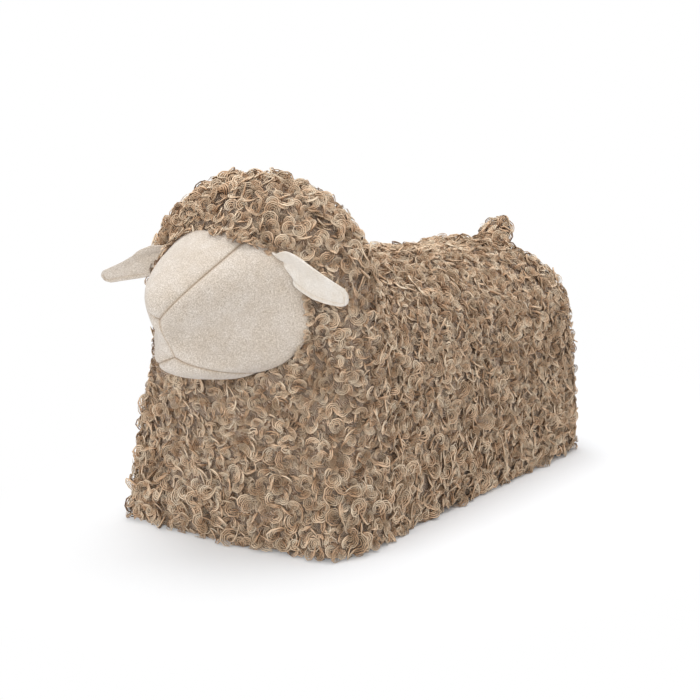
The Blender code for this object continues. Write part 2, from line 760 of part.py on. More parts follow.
def fleece_panels(net, materials):
    """Side panels, breast, rump and a long top panel in two lengths, cut round the face."""
    points, cells, base = net
    away = unit(field_slope(points, base))
    opening = face_opening_cutter(materials)
    rows = [place % BODY_CELLS_ALONG for place in range(len(cells["top"]))]
    crown = [cell for row, cell in zip(rows, cells["top"]) if row < CROWN_CELLS]
    hood = [cell for cell in cells["front"] if points[cell][:, 2].mean() > HEAD_MIDDLE_HEIGHT]
    panels = {
        "fleece_side_left": cells["left"],
        "fleece_side_right": cells["right"],
        "fleece_breast": [cell for cell in cells["front"] if cell not in hood],
        "fleece_rump": cells["rear"],
        "fleece_crown": hood + crown,
        "fleece_back": [cell for row, cell in zip(rows, cells["top"]) if row >= CROWN_CELLS],
    }
    for name, own in panels.items():
        panel = sewn_panel(name, points, away, own, 0.0, FLEECE, materials["fleece"])
        if name not in ("fleece_rump", "fleece_back"):
            cut_away(panel, opening)


def foam_blocks(net, materials):
    """Body and head foam, parted by the neck cut and hollowed for the frame and neck post."""
    rise = math.radians(NECK_CUT_RISE_DEG)
    up = Vector((0, -math.sin(rise), math.cos(rise)))
    place = Vector((0, FRAME_FRONT, SEAT_TOP + NECK_CUT_OVER_SEAT))
    floor = Vector((0, 0, FRAME_LOW))
    body = closed_form(net, SKIN)
    keep_side(body, floor, Vector((0, 0, -1)))
    keep_side(body, place - up * FIT / 2, up)
    head = closed_form(net, SKIN)
    keep_side(head, place + up * FIT / 2, -up)
    body = add_object("body_foam", body, materials["foam"])
    head = add_object("head_foam", head, materials["foam"])
    frame_hole = block((-FRAME_HALF_WIDTH - FIT, FRAME_FRONT - FIT, -BOARD),
                       (FRAME_HALF_WIDTH + FIT, FRAME_REAR + FIT, SEAT_TOP + FIT))
    cut_away(body, add_cutter("frame_hollow", frame_hole, materials["foam"]))
    post_hole = block((-POST_HALF_WIDTH - FIT, FRAME_FRONT - BOARD - 2 * FIT, -BOARD),
                      (POST_HALF_WIDTH + FIT, FRAME_FRONT, POST_TOP + FIT))
    post_hollow = add_cutter("post_hollow", post_hole, materials["foam"])
    cut_away(body, post_hollow)
    cut_away(head, post_hollow)


# Ears and tail

def ear_root_line():
    """Top and low end of the line that the left ear hinges on, just outside the face seam."""
    seam = face_outline(np.radians([EAR_ROOT_TOP_DEG, EAR_ROOT_LOW_DEG]))
    middle = seam.mean(0)[None]
    missing = EAR_HALF_ROOT + EAR_ROOT_CLEARANCE - distance(middle)[0]
    return seam + unit(field_slope(middle)) * missing


def ear_layer(root_top, root_low, face_way):
    """One felt layer of the left ear, on its front (+1) or its back (-1)."""
    root = (root_top + root_low) / 2
    droop, forward = math.radians(EAR_DROOP_DEG), math.radians(EAR_FORWARD_DEG)
    along = unit(np.array([math.cos(droop), -math.sin(forward), -math.sin(droop)]))
    hinge = unit(root_low - root_top)
    front = unit(np.cross(hinge, along))
    across = np.cross(along, front)
    across = across * np.sign(across @ hinge)
    half_root = np.linalg.norm(root_low - root_top) / 2
    station_shares = (0.0, 0.12, 0.3, 0.5, 0.7, 0.85, 0.95, 1.0)
    top_shares = (1.0, 1.05, 1.0, 0.86, 0.70, 0.56, 0.42, 0.0)
    low_shares = (1.25, 1.05, 1.05, 1.0, 0.86, 0.72, 0.55, 0.0)
    mesh_data = bmesh.new()
    inner_rows, outer_rows = [], []
    half_gap = EAR_LAYER_GAP / 2
    for station, top, low in zip(station_shares, top_shares, low_shares):
        middle = root + along * EAR_LENGTH * station
        turn = max(0.0, 1 - station / 0.2)
        way = unit(across * (1 - turn) + hinge * turn)
        inner, outer = [], []
        for k in range(EAR_CELLS + 1):
            share = 2 * k / EAR_CELLS - 1
            reach = low * EAR_LOW_WIDTH if share > 0 else top * EAR_TOP_WIDTH
            if station == 0:
                reach = half_root
            place = middle + way * reach * share
            puff = EAR_PUFF * (1 - share ** 2) * math.sin(math.pi * min(station * 1.1, 1))
            inner.append(place + face_way * front * half_gap)
            outer.append(place + face_way * front * (half_gap + EAR_LAYER + puff))
        inner_rows.append(inner)
        outer_rows.append(outer)
    rounding = []
    for degrees in (80, 40):
        angle = math.radians(degrees)
        back = -along * EAR_HALF_ROOT * math.sin(angle)
        lift = face_way * front * max(EAR_HALF_ROOT * math.cos(angle), half_gap)
        rounding.append([place - face_way * front * half_gap + back + lift for place in inner_rows[0]])
    rows = [inner_rows[0]] + rounding + outer_rows[:-1]
    tip_outer = outer_rows[-1][0]
    tip_inner = inner_rows[-1][0]
    outer_verts = [[mesh_data.verts.new(place) for place in row] for row in rows]
    inner_verts = [outer_verts[0]] + [[mesh_data.verts.new(p) for p in row] for row in inner_rows[1:-1]]
    tip_out = mesh_data.verts.new(tip_outer)
    tip_in = mesh_data.verts.new(tip_inner)
    for layer, last in ((outer_verts, tip_out), (inner_verts, tip_in)):
        for lower, upper in zip(layer, layer[1:]):
            for k in range(EAR_CELLS):
                mesh_data.faces.new([lower[k], lower[k + 1], upper[k + 1], upper[k]])
        for k in range(EAR_CELLS):
            mesh_data.faces.new([layer[-1][k], layer[-1][k + 1], last])
    for k in (0, EAR_CELLS):
        ends = [row[k] for row in outer_verts[:4]]
        mesh_data.faces.new(ends)
        for row in range(3, len(outer_verts) - 1):
            inner_row = row - 3
            mesh_data.faces.new([outer_verts[row][k], outer_verts[row + 1][k],
                                 inner_verts[inner_row + 1][k], inner_verts[inner_row][k]])
        mesh_data.faces.new([outer_verts[-1][k], tip_out, tip_in, inner_verts[-1][k]])
    return mesh_data


def ears(materials):
    root_top, root_low = ear_root_line()
    for side, mirror in (("left", 1), ("right", -1)):
        for layer, way in (("front", 1), ("back", -1)):
            mesh_data = ear_layer(root_top, root_low, way)
            for vert in mesh_data.verts:
                vert.co.x = mirror * vert.co.x
            item = add_object("ear_" + side + "_" + layer, mesh_data, materials["felt"])
            pivot = Vector((mirror * root_top[0], root_top[1], root_top[2]))
            for vert in item.data.vertices:
                vert.co = vert.co - pivot
            item.location = pivot


def tail(materials):
    """A short stub that swells from the rump seam and tapers to a blunt end."""
    tilt = math.radians(TAIL_TILT_DEG)
    along = np.array([0, math.cos(tilt), math.sin(tilt)])
    lift = np.array([0, -math.sin(tilt), math.cos(tilt)])
    root_y = BODY_BEHIND_MIDDLE + BODY_HALF_LENGTH - TAIL_SETBACK
    root = np.array([0, root_y, top_height(np.array([root_y]))[0]])
    station_shares = (0.0, 0.2, 0.45, 0.7, 0.88, 0.97)
    size_shares = (0.85, 1.0, 1.0, 0.86, 0.62, 0.3)
    mesh_data = bmesh.new()
    rings = []
    sides = 12
    for station, share in zip(station_shares, size_shares):
        ring = []
        for k in range(sides):
            angle = math.tau * k / sides
            place = root + along * TAIL_LENGTH * station
            place = place + np.array([1, 0, 0]) * TAIL_HALF_WIDTH * share * math.cos(angle)
            place = place + lift * TAIL_HALF_THICKNESS * share * math.sin(angle)
            ring.append(place)
        rings.append(np.array(ring))
    rings[0] = search(rings[1] - along * TAIL_LENGTH, rings[1], FIT)
    rings[0] = rings[0] + along * FIT
    rows = [[mesh_data.verts.new(place) for place in ring] for ring in rings]
    for lower, upper in zip(rows, rows[1:]):
        for k in range(sides):
            n = (k + 1) % sides
            mesh_data.faces.new([lower[k], lower[n], upper[n], upper[k]])
    end = mesh_data.verts.new(root + along * TAIL_LENGTH)
    heart = search((root - along * TAIL_LENGTH)[None], (root + along * TAIL_LENGTH)[None], FIT)[0]
    start = mesh_data.verts.new(heart + along * FIT)
    for k in range(sides):
        n = (k + 1) % sides
        mesh_data.faces.new([rows[-1][k], rows[-1][n], end])
        mesh_data.faces.new([rows[0][n], rows[0][k], start])
    add_object("fleece_tail", mesh_data, materials["fleece"])


def main():
    clear_scene()
    materials = make_materials()
    net = lay_net()
    board = base_board(net, materials)
    boards = frame_boards(materials)
    base_screws(materials, board, boards)
    neck_post(materials, boards)
    glides(materials)
    underside(net, materials)
    foam_blocks(net, materials)
    fleece_panels(net, materials)
    face_panels(materials)
    face_filling(net, materials)
    ears(materials)
    tail(materials)


main()
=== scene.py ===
"""Looks of the curly-fleece sheep footstool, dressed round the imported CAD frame.

Lengths are in metres and +Z is up. The sheep faces -Y and its left flank is at +X.
"""

import contextlib
import json
import math

import bmesh
import bpy
import numpy as np
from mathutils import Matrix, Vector

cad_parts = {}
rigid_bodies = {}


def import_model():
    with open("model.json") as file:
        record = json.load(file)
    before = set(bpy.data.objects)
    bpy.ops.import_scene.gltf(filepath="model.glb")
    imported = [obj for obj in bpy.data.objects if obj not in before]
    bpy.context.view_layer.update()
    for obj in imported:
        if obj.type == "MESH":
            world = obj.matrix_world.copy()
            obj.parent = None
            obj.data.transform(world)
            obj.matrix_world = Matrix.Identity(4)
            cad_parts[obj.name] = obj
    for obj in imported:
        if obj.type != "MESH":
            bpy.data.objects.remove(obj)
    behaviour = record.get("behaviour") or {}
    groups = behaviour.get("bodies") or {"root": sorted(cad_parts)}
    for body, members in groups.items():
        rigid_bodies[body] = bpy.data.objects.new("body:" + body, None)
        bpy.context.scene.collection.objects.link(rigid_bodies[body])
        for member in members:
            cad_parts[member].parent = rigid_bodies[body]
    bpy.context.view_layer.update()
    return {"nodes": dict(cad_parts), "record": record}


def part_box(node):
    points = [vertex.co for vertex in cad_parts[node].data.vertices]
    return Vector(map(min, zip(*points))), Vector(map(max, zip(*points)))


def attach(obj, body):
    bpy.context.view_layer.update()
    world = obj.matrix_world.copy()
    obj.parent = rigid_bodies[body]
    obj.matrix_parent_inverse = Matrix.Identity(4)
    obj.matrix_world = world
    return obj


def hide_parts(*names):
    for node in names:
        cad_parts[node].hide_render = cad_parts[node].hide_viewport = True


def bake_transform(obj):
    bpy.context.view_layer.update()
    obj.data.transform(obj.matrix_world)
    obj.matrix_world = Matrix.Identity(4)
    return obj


# Form of the sheep, as in the part's source
BODY_HALF_WIDTH = 0.143
BODY_HALF_LENGTH = 0.288
BODY_BEHIND_MIDDLE = 0.032
BACK_HEIGHT = 0.284
BACK_RADIUS = 0.106
CORNER_RADIUS = 0.018
SIDE_SWELL, SIDE_LEAN = 0.0052, 0.0253
BREAST_SWELL, BREAST_LEAN = 0.013, 0.0887
RUMP_SWELL, RUMP_LEAN = 0.0092, 0.0045
BACK_DIP, BACK_DIP_LENGTH, BACK_DIP_Y = 0.009, 0.058, 0.146
HEAD_Y = BODY_BEHIND_MIDDLE - BODY_HALF_LENGTH + 0.0692
HEAD_MIDDLE_HEIGHT = 0.246
HEAD_HALF_WIDTH = 0.1355
HEAD_HALF_LENGTH = 0.086
HEAD_RISE = 0.1365
HEAD_SQUARENESS = 2.17
NECK_FLARE = BODY_HALF_WIDTH - 0.005 - HEAD_HALF_WIDTH
NECK_WAIST, NECK_TUCK = 0.017, 0.020
NECK_BLEND = 0.055
HEM_HEIGHT = 0.003
HEAD_FRONT = HEAD_Y - HEAD_HALF_LENGTH

# Net of the cover, and how finely it is dressed
NET = (10, 22, 10)
FINE = 4
CROWN_CELLS = 8
CURL_STRIPS = {"fleece_side_left": 4, "fleece_side_right": 4, "fleece_crown": 3, "fleece_back": 3,
               "fleece_breast": 2, "fleece_rump": 2}

# Face and muzzle
FACE_HALF_WIDTH, FACE_RISE, FACE_DROP = 0.105, 0.0827, 0.066
FACE_SQUARENESS = 2.2
NOSE = np.array([0, HEAD_FRONT - 0.0738, HEAD_MIDDLE_HEIGHT + 0.004])
MOUTH = np.array([0, HEAD_FRONT - 0.0538, NOSE[2] - 0.042])
HEART = np.array([0, HEAD_FRONT + 0.025, (NOSE[2] + MOUTH[2]) / 2])
BROW_HALF_WIDTH = 0.0405
FAR_BROW_HALF_WIDTH = 0.058
JAW_HALF_WIDTH = 0.0545
BROW_CURVE = np.array([0.31, 1.41, 0.79])
CHEEK_CURVE = np.array([0.37, 0.28, 0.71])
CHIN_CURVE = np.array([0.16, 1.20, 0.20])
STEM_SWELL = 0.0055
FELT, FELT_SWELL = 0.0025, 0.0020
FELT_ROWS, CHEEK_CELLS = 57, 56
FEWER_CELLS = {"face_forehead": 30, "face_chin": 40}
SEAM_GROOVE, SEAM_WIDTH = 0.0012, 0.0022

# Where the filling pushes the felt out or leaves it hollow: side, start and end of a line, width and height
STUFFING = ((1, (0.014, -0.324, 0.212), (0.062, -0.290, 0.199), 0.011, 0.0022),
            (1, (0.012, -0.333, 0.233), (0.050, -0.306, 0.226), 0.010, -0.0052),
            (-1, (-0.010, -0.339, 0.238), (-0.022, -0.318, 0.212), 0.016, 0.0060))
DRAWN_IN_AT, DRAWN_IN_SPREAD = np.array([-0.084, -0.255, 0.292]), np.array([0.032, 0.035, 0.034])
DRAWN_IN_BY = np.array([0.0120, 0, 0])

# Ears, with the reach of the top and the low edge at stations along the length
EAR_ROOT_DEG = (42, 65)
EAR_DROOP, EAR_FORWARD = math.radians(20), math.radians(3)
EAR_LENGTH = 0.080
EAR_LIFT = 0.00325
EAR_GATHER = 0.12
EAR_CLEAR = 0.045
EAR_CUP, EAR_LOBE_CUP, EAR_FOLD = 0.0050, 0.0030, 0.0030
EAR_LAP = {"left": 0.07, "right": 0.20}
EAR_STATIONS = (0.0, 0.12, 0.3, 0.5, 0.7, 0.85, 0.95)
EAR_REACH = {"left": (0.0211 * np.array([1.0, 1.06, 1.02, 0.88, 0.73, 0.60, 0.50]),
                      0.0143 * np.array([0.9, 0.78, 1.02, 1.14, 1.02, 0.86, 0.72])),
             "right": (0.0182 * np.array([1.0, 0.80, 0.58, 0.47, 0.42, 0.38, 0.34]),
                       0.0143 * np.array([1.25, 1.20, 1.14, 0.93, 0.76, 0.67, 0.60]))}
EAR_SEAM_IN, EAR_SEAM_WIDTH, EAR_SEAM_GROOVE = 0.0040, 0.0010, 0.0012

# Pile, and its fringe over the face by angle round the opening
PILE_DEPTH = 0.0048
BACKING_DEPTH = 0.0118
GROUND_LUMPS = 0.0012
FLOOR_CLEARANCE, FLOOR_PRESS = 0.0008, 0.12
FRINGE_DEG, FRINGE_STEPS = (-78, 128), 104
FRINGE_REACH, FRINGE_EXTRA = 0.024, ((0.030, 17, 15), (0.150, -52, 20))
FRINGE_LIFT = 0.0018
FRINGE_SIZE, FRINGE_SPACING = 0.74, 0.0044
LEFT_EAR_AT_DEG, BARE_BROW_AT_DEG = 56, -9

# Locks of the pile: some wound in a swirl and some run in a wave
LOCK_SPACING = 0.0057
LOCK_KINDS = 24
LOCK_STRANDS = 4
LOCK_SIZES = (0.75, 1.30)
LOCK_TILT = 0.54
LOCK_LEAN_DEG = 20
LOW_LOCKS, TALL_LOCKS = (0.0030, 0.0056), (0.0058, 0.0080)
LOW_LOCK_SHARE = 0.8
SWIRL_RADII, SWIRL_TURNS_DEG, SWIRL_PITCH = (0.0050, 0.0084), (250, 400), 0.00155
WAVE_LENGTHS, WAVE_BENDS, WAVE_PITCH = (0.012, 0.017), (2.0, 2.8), 0.00140
ROOT_DEPTH, TIP_DROP = 0.002, 0.0016
OUTER_RISE, STRAND_STEP, STRAND_STRAY = 0.0026, 0.0005, 0.0004
STRAND_HALF_WIDTHS = (0.00052, 0.00070)
STRAND_ROLL_DEG = 25
# Outline of a strand as (across, up, shade): painted shade at the two lower edges and a painted highlight at the top
# one
STRAND_OUTLINE = ((-1, -0.55, 0.0), (1, -0.55, 0.0), (0, 0.75, 1.0))
LOOSE_ASIDE, LOOSE_HALF_WIDTH = 0.0026, 0.00042

# Tail, and the cloth under the base
TAIL_TILT = math.radians(45)
TAIL_LENGTH = 0.078
TAIL_ROOT_INSET = 0.022
TAIL_HALF_WIDTH, TAIL_HALF_HEIGHT = 0.029, 0.015
TAIL_SIDE_PILE, TAIL_TOP_PILE = 0.007, 0.004
TAIL_STATIONS = (-0.1, 0.0, 0.2, 0.45, 0.7, 0.88, 0.97)
TAIL_SIZES = (0.8, 0.85, 1.0, 1.0, 0.86, 0.62, 0.3)
CLOTH_INSET, CLOTH_SAG = 0.0262, 0.0016
STAPLE_INSET, STAPLE_CLEAR = 0.009, 0.018

# Photograph's camera
CAMERA_AZIMUTH = 33.267
CAMERA_HEIGHT = 10.616
CAMERA_DISTANCE = 1.6902
CAMERA_LENS = 71.998
CAMERA_SHIFT = (-0.0330, 0.0142)
CAMERA_TARGET = Vector((0, BODY_BEHIND_MIDDLE, 0.150))
LAMP_TARGET = Vector((0, 0, 0.15))


def colour(red, green, blue):
    """An 8-bit screen colour as the linear values that Blender's shaders take."""
    values = [v / 255 for v in (red, green, blue)]
    return tuple(v / 12.92 if v <= 0.04045 else ((v + 0.055) / 1.055) ** 2.4 for v in values) + (1,)


def bell(value, middle, width):
    """1 at the middle, and falling away smoothly over the width."""
    return np.exp(-((value - middle) / width) ** 2)


def between(value, start, end):
    """0 before the start, 1 past the end and straight between them, whichever is the higher."""
    return np.clip((value - start) / (end - start), 0, 1)


# Form of the sheep, as a field that is below zero inside

def corner_round(first, second, radius):
    outside = np.hypot(np.clip(first + radius, 0, None), np.clip(second + radius, 0, None))
    return outside + np.clip(np.maximum(first, second) + radius, None, 0) - radius


def body_field(points):
    x, y, z = points.T
    y = y - BODY_BEHIND_MIDDLE
    rise = np.clip(z / BACK_HEIGHT, 0, 1.2)
    swell = 4 * rise * (1 - rise)
    half_width = BODY_HALF_WIDTH + SIDE_SWELL * swell - SIDE_LEAN * rise
    front = BODY_HALF_LENGTH + BREAST_SWELL * swell - BREAST_LEAN * rise
    rear = BODY_HALF_LENGTH + RUMP_SWELL * swell - RUMP_LEAN * rise
    past_end = np.where(y < 0, -y - front, y - rear)
    walls = corner_round(np.abs(x) - half_width, past_end, CORNER_RADIUS)
    dip = BACK_DIP * bell(y, BACK_DIP_Y, BACK_DIP_LENGTH)
    return corner_round(walls, z - BACK_HEIGHT + dip, BACK_RADIUS)


def head_field(points):
    x, y, z = points.T
    above = np.clip(z - HEAD_MIDDLE_HEIGHT, 0, None) / HEAD_RISE
    below = np.clip(HEAD_MIDDLE_HEIGHT - z, 0, None) / HEAD_MIDDLE_HEIGHT
    half_width = HEAD_HALF_WIDTH + NECK_FLARE * below ** 1.5 - 4 * NECK_WAIST * below * (1 - below)
    half_length = HEAD_HALF_LENGTH - NECK_TUCK * below
    power = HEAD_SQUARENESS
    total = np.abs(x / half_width) ** power + np.abs((y - HEAD_Y) / half_length) ** power + above ** power
    return (total ** (1 / power) - 1) * half_width


def sheep_field(points):
    body = body_field(points)
    head = head_field(points)
    mix = np.clip(0.5 + 0.5 * (head - body) / NECK_BLEND, 0, 1)
    return head + (body - head) * mix - NECK_BLEND * mix * (1 - mix)


def field_slope(points, level=None):
    step = 0.00007
    shifts = np.eye(3) * step
    slope = np.stack([sheep_field(points + s) - sheep_field(points - s) for s in shifts], -1) / (2 * step)
    if level is not None:
        slope[level, 2] = 0
    return slope


def unit(vectors):
    return vectors / np.maximum(np.linalg.norm(vectors, axis=-1, keepdims=True), 1e-12)


def settle(points, level, passes=10):
    for _ in range(passes):
        slope = field_slope(points, level)
        points = points - (sheep_field(points) / (slope * slope).sum(-1))[:, None] * slope
    return points


def distance(points):
    return sheep_field(points) / np.linalg.norm(field_slope(points), axis=-1)


def search(inside, outside, level=0.0):
    low, high = np.zeros(len(inside)), np.ones(len(inside))
    for _ in range(36):
        middle = (low + high) / 2
        within = distance(inside + (outside - inside) * middle[:, None]) < level
        low, high = np.where(within, middle, low), np.where(within, high, middle)
    return inside + (outside - inside) * low[:, None]


def front_point(x, z, level=0.0):
    x, z = np.atleast_1d(x), np.atleast_1d(z)
    return search(np.stack([x, 0 * x + HEAD_Y, z], -1), np.stack([x, 0 * x - 0.6, z], -1), level)


def top_height(y):
    low = np.stack([0 * y, y, 0 * y + 0.02], -1)
    return search(low, low + [0, 0, 0.55])[:, 2]


# Net of cells over the form

SIDES = ((0, 0, "right"), (0, 1, "left"), (1, 0, "front"), (1, 1, "rear"), (2, 1, "top"))
CORNERS = ((0, 0), (1, 0), (1, 1), (0, 1))


def box_cells(counts):
    """Corner keys and four-sided cells of an open box, by side, each cell with its place."""
    numbers, cells = {}, {}
    for fixed, end, side in SIDES:
        first, second = [axis for axis in range(3) if axis != fixed]
        for a in range(counts[first]):
            for b in range(counts[second]):
                cell = []
                for da, db in CORNERS:
                    key = [0, 0, 0]
                    key[fixed] = end * counts[fixed]
                    key[first], key[second] = a + da, b + db
                    cell.append(numbers.setdefault(tuple(key), len(numbers)))
                cells.setdefault(side, []).append(((a, b), cell))
    return numbers, cells


def lay_net():
    """The same even net as the part's, laid over the form."""
    numbers, cells = box_cells(NET)
    shares = np.array(list(numbers), float) / np.array(NET)
    base = shares[:, 2] == 0
    near = [set() for _ in numbers]
    for side in cells.values():
        for _, cell in side:
            for a, b in zip(cell, cell[1:] + cell[:1]):
                near[a].add(b)
                near[b].add(a)
    near = [sorted(found) for found in near]
    y = BODY_BEHIND_MIDDLE + (2 * shares[:, 1] - 1) * 0.95 * BODY_HALF_LENGTH
    z = HEM_HEIGHT + shares[:, 2] * (0.97 * top_height(y) - HEM_HEIGHT)
    x = (2 * shares[:, 0] - 1) * 0.9 * BODY_HALF_WIDTH
    points = settle(np.stack([x, y, z], -1), base)
    for _ in range(12):
        mean = np.array([points[found].mean(0) for found in near])
        mean[base, 2] = HEM_HEIGHT
        points = settle((points + mean) / 2, base, 3)
    return numbers, cells, points


def refine_net():
    """Points of the cover, FINE times finer than the net, their outward ways and each panel's cells."""
    numbers, cells, coarse = lay_net()
    counts = tuple(n * FINE for n in NET)
    fine_numbers, fine_cells = box_cells(counts)
    keys = np.array(list(fine_numbers), float)
    points = np.zeros((len(keys), 3))
    for fixed, end, side in SIDES:
        first, second = [axis for axis in range(3) if axis != fixed]
        on = keys[:, fixed] == end * counts[fixed]
        place = keys[on] / FINE
        low = np.minimum(place.astype(int), np.array(NET) - 1)
        low[:, fixed] = end * NET[fixed]
        corners = []
        for step in CORNERS:
            key = low.copy()
            key[:, [first, second]] += step
            corners.append(coarse[[numbers[tuple(k)] for k in key]])
        s, t = (place - low)[:, [first]], (place - low)[:, [second]]
        points[on] = (corners[0] * (1 - s) * (1 - t) + corners[1] * s * (1 - t) + corners[2] * s * t
                      + corners[3] * (1 - s) * t)
    base = keys[:, 2] == 0
    points = settle(points, base, 6)
    points[base, 2] = HEM_HEIGHT
    away = unit(field_slope(points, base))
    coarse_height = {place: coarse[cell][:, 2].mean() for place, cell in cells["front"]}
    panels = {}
    for side, found in fine_cells.items():
        for (a, b), cell in found:
            if side in ("left", "right"):
                name = "fleece_side_" + side
            elif side == "rear":
                name = "fleece_rump"
            elif side == "top":
                name = "fleece_crown" if b // FINE < CROWN_CELLS else "fleece_back"
            else:
                name = "fleece_crown" if coarse_height[(a // FINE, b // FINE)] > HEAD_MIDDLE_HEIGHT else "fleece_breast"
            normal = np.cross(points[cell[1]] - points[cell[0]], points[cell[2]] - points[cell[0]])
            if normal @ away[cell[0]] < 0:
                cell = cell[::-1]
            panels.setdefault(name, []).append(cell)
    return points, away, panels


def in_face(points):
    """Under 1 inside the face opening, seen from the front, and large elsewhere."""
    x, y, z = points.T
    half = np.where(z > HEAD_MIDDLE_HEIGHT, FACE_RISE, FACE_DROP)
    power = FACE_SQUARENESS
    value = np.abs(x / FACE_HALF_WIDTH) ** power + np.abs((z - HEAD_MIDDLE_HEIGHT) / half) ** power
    return np.where(y < HEAD_Y, value ** (1 / power), 9.0)


def open_for_face(points, cells):
    """Drop the cells inside the face opening and draw the rim onto its outline."""
    value = in_face(points)
    kept = [cell for cell in cells if value[cell].max() > 1]
    corners = sorted({corner for cell in kept for corner in cell if value[corner] < 1})
    points = points.copy()
    if corners:
        inner = points[corners]
        grown = value[corners]
        x = inner[:, 0] / grown
        z = HEAD_MIDDLE_HEIGHT + (inner[:, 2] - HEAD_MIDDLE_HEIGHT) / grown
        points[corners] = front_point(x, z)
    return points, kept


# Meshes

def new_object(name, data, material=None):
    item = bpy.data.objects.new(name, data)
    bpy.context.scene.collection.objects.link(item)
    if material:
        data.materials.append(material)
    return item


def mesh_from(name, verts, faces):
    mesh = bpy.data.meshes.new(name)
    mesh.from_pydata([tuple(v) for v in verts], [], [tuple(f) for f in faces])
    mesh.validate()
    mesh.update()
    mesh.shade_smooth()
    return mesh


@contextlib.contextmanager
def reworked(mesh, source=None):
    """The mesh, or a source that it copies, open for changes that end up in the mesh."""
    work = bmesh.new()
    work.from_mesh(source or mesh)
    yield work
    work.to_mesh(mesh)
    work.free()


def face_outwards(mesh, source=None):
    """Merge doubled corners and turn the faces outwards."""
    with reworked(mesh, source) as work:
        bmesh.ops.remove_doubles(work, verts=work.verts[:], dist=1e-6)
        bmesh.ops.recalc_face_normals(work, faces=work.faces[:])


def add_attribute(mesh, name, values):
    attribute = mesh.attributes.new(name, "FLOAT", "POINT")
    attribute.data.foreach_set("value", np.asarray(values, np.float32))


def grid_faces(rows, wide, around=False):
    """Four-sided faces of points laid in rows, each row open or closed round."""
    return [[r * wide + k, r * wide + (k + 1) % wide, (r + 1) * wide + (k + 1) % wide, (r + 1) * wide + k]
            for r in range(rows - 1) for k in range(wide if around else wide - 1)]


def tube_faces(rows, wide):
    """Faces of rings laid in rows, with a face over each end."""
    ring = list(range(wide))
    return grid_faces(rows, wide, True) + [ring[::-1], [(rows - 1) * wide + k for k in ring]]


def renumbered(cells):
    """The corners that the cells use, and the cells with those corners numbered from 0."""
    used = sorted({corner for cell in cells for corner in cell})
    place = {corner: k for k, corner in enumerate(used)}
    return used, [[place[corner] for corner in cell] for cell in cells]


def shell(name, outer, inner, cells):
    """A closed sheet between two sets of points that share their cells."""
    used, cells = renumbered(cells)
    count = len(used)
    faces, edges = [], {}
    for cell in cells:
        faces.append(cell)
        faces.append([count + k for k in reversed(cell)])
        for a, b in zip(cell, cell[1:] + cell[:1]):
            edges[(a, b)] = True
    for a, b in edges:
        if (b, a) not in edges:
            faces.append([b, a, count + a, count + b])
    return mesh_from(name, np.concatenate([outer[used], inner[used]]), faces)


# Materials

class Wiring:
    """A node tree being wired up."""

    def __init__(self, tree):
        self.nodes, self.links = tree.nodes, tree.links

    def feed(self, socket, value):
        """Join another node's output to the socket, or set the socket to a plain value."""
        if isinstance(value, bpy.types.NodeSocket):
            self.links.new(value, socket)
        else:
            socket.default_value = value

    def add(self, kind, inputs=None, **settings):
        """A node with its settings and then its inputs, which go by name or number."""
        node = self.nodes.new(kind)
        for key, value in settings.items():
            setattr(node, key, value)
        for key, value in (inputs or {}).items():
            self.feed(node.inputs[key], value)
        return node

    def maths(self, way, first, second):
        return self.add("ShaderNodeMath", {0: first, 1: second}, operation=way).outputs[0]


class Shader(Wiring):
    """A material being wired up."""

    def __init__(self, name):
        self.material = bpy.data.materials.new(name)
        self.material.use_nodes = True
        super().__init__(self.material.node_tree)
        self.surface = self.nodes["Principled BSDF"]

    def place(self):
        return self.add("ShaderNodeTexCoord").outputs["Object"]

    def noise(self, scale, detail=3.0, roughness=0.55, distortion=0.0, place=None):
        return self.add("ShaderNodeTexNoise", {
            "Vector": self.place() if place is None else place, "Scale": scale, "Detail": detail,
            "Roughness": roughness, "Distortion": distortion}).outputs["Fac"]

    def cells(self, scale, randomness=1.0, distance="EUCLIDEAN"):
        return self.add("ShaderNodeTexVoronoi", {"Vector": self.place(), "Scale": scale, "Randomness": randomness},
                        distance=distance).outputs["Distance"]

    def attribute(self, name):
        return self.add("ShaderNodeAttribute", attribute_name=name).outputs["Fac"]

    def ramp(self, source, stops):
        node = self.add("ShaderNodeValToRGB", {"Fac": source})
        elements = node.color_ramp.elements
        while len(elements) < len(stops):
            elements.new(0.5)
        for element, (at, tint) in zip(elements, stops):
            element.position = at
            element.color = colour(*tint)
        return node.outputs["Color"]

    def mix(self, amount, first, second, way="MIX"):
        return self.add("ShaderNodeMix", {0: amount, 6: first, 7: second}, data_type="RGBA",
                        blend_type=way).outputs[2]

    def multiply(self, first, *others):
        for other in others:
            first = self.mix(1.0, first, other, "MULTIPLY")
        return first

    def scaled(self, source, span, start):
        return self.maths("ADD", self.maths("MULTIPLY", source, span), start)

    def bump(self, height, strength, depth):
        node = self.add("ShaderNodeBump", {"Strength": strength, "Distance": depth, "Height": height})
        self.feed(self.surface.inputs["Normal"], node.outputs["Normal"])

    def finish(self, tint, roughness, **plain):
        for key, value in {"Base_Color": tint, "Roughness": roughness, **plain}.items():
            self.feed(self.surface.inputs[key.replace("_", " ")], value)
        return self.material

    def follow(self, grain, stops, roughness, relief=None, **plain):
        """Finish with a tint, a roughness and a relief that all follow one grain."""
        if relief:
            self.bump(grain, *relief)
        return self.finish(self.ramp(grain, stops), self.scaled(grain, *roughness), **plain)


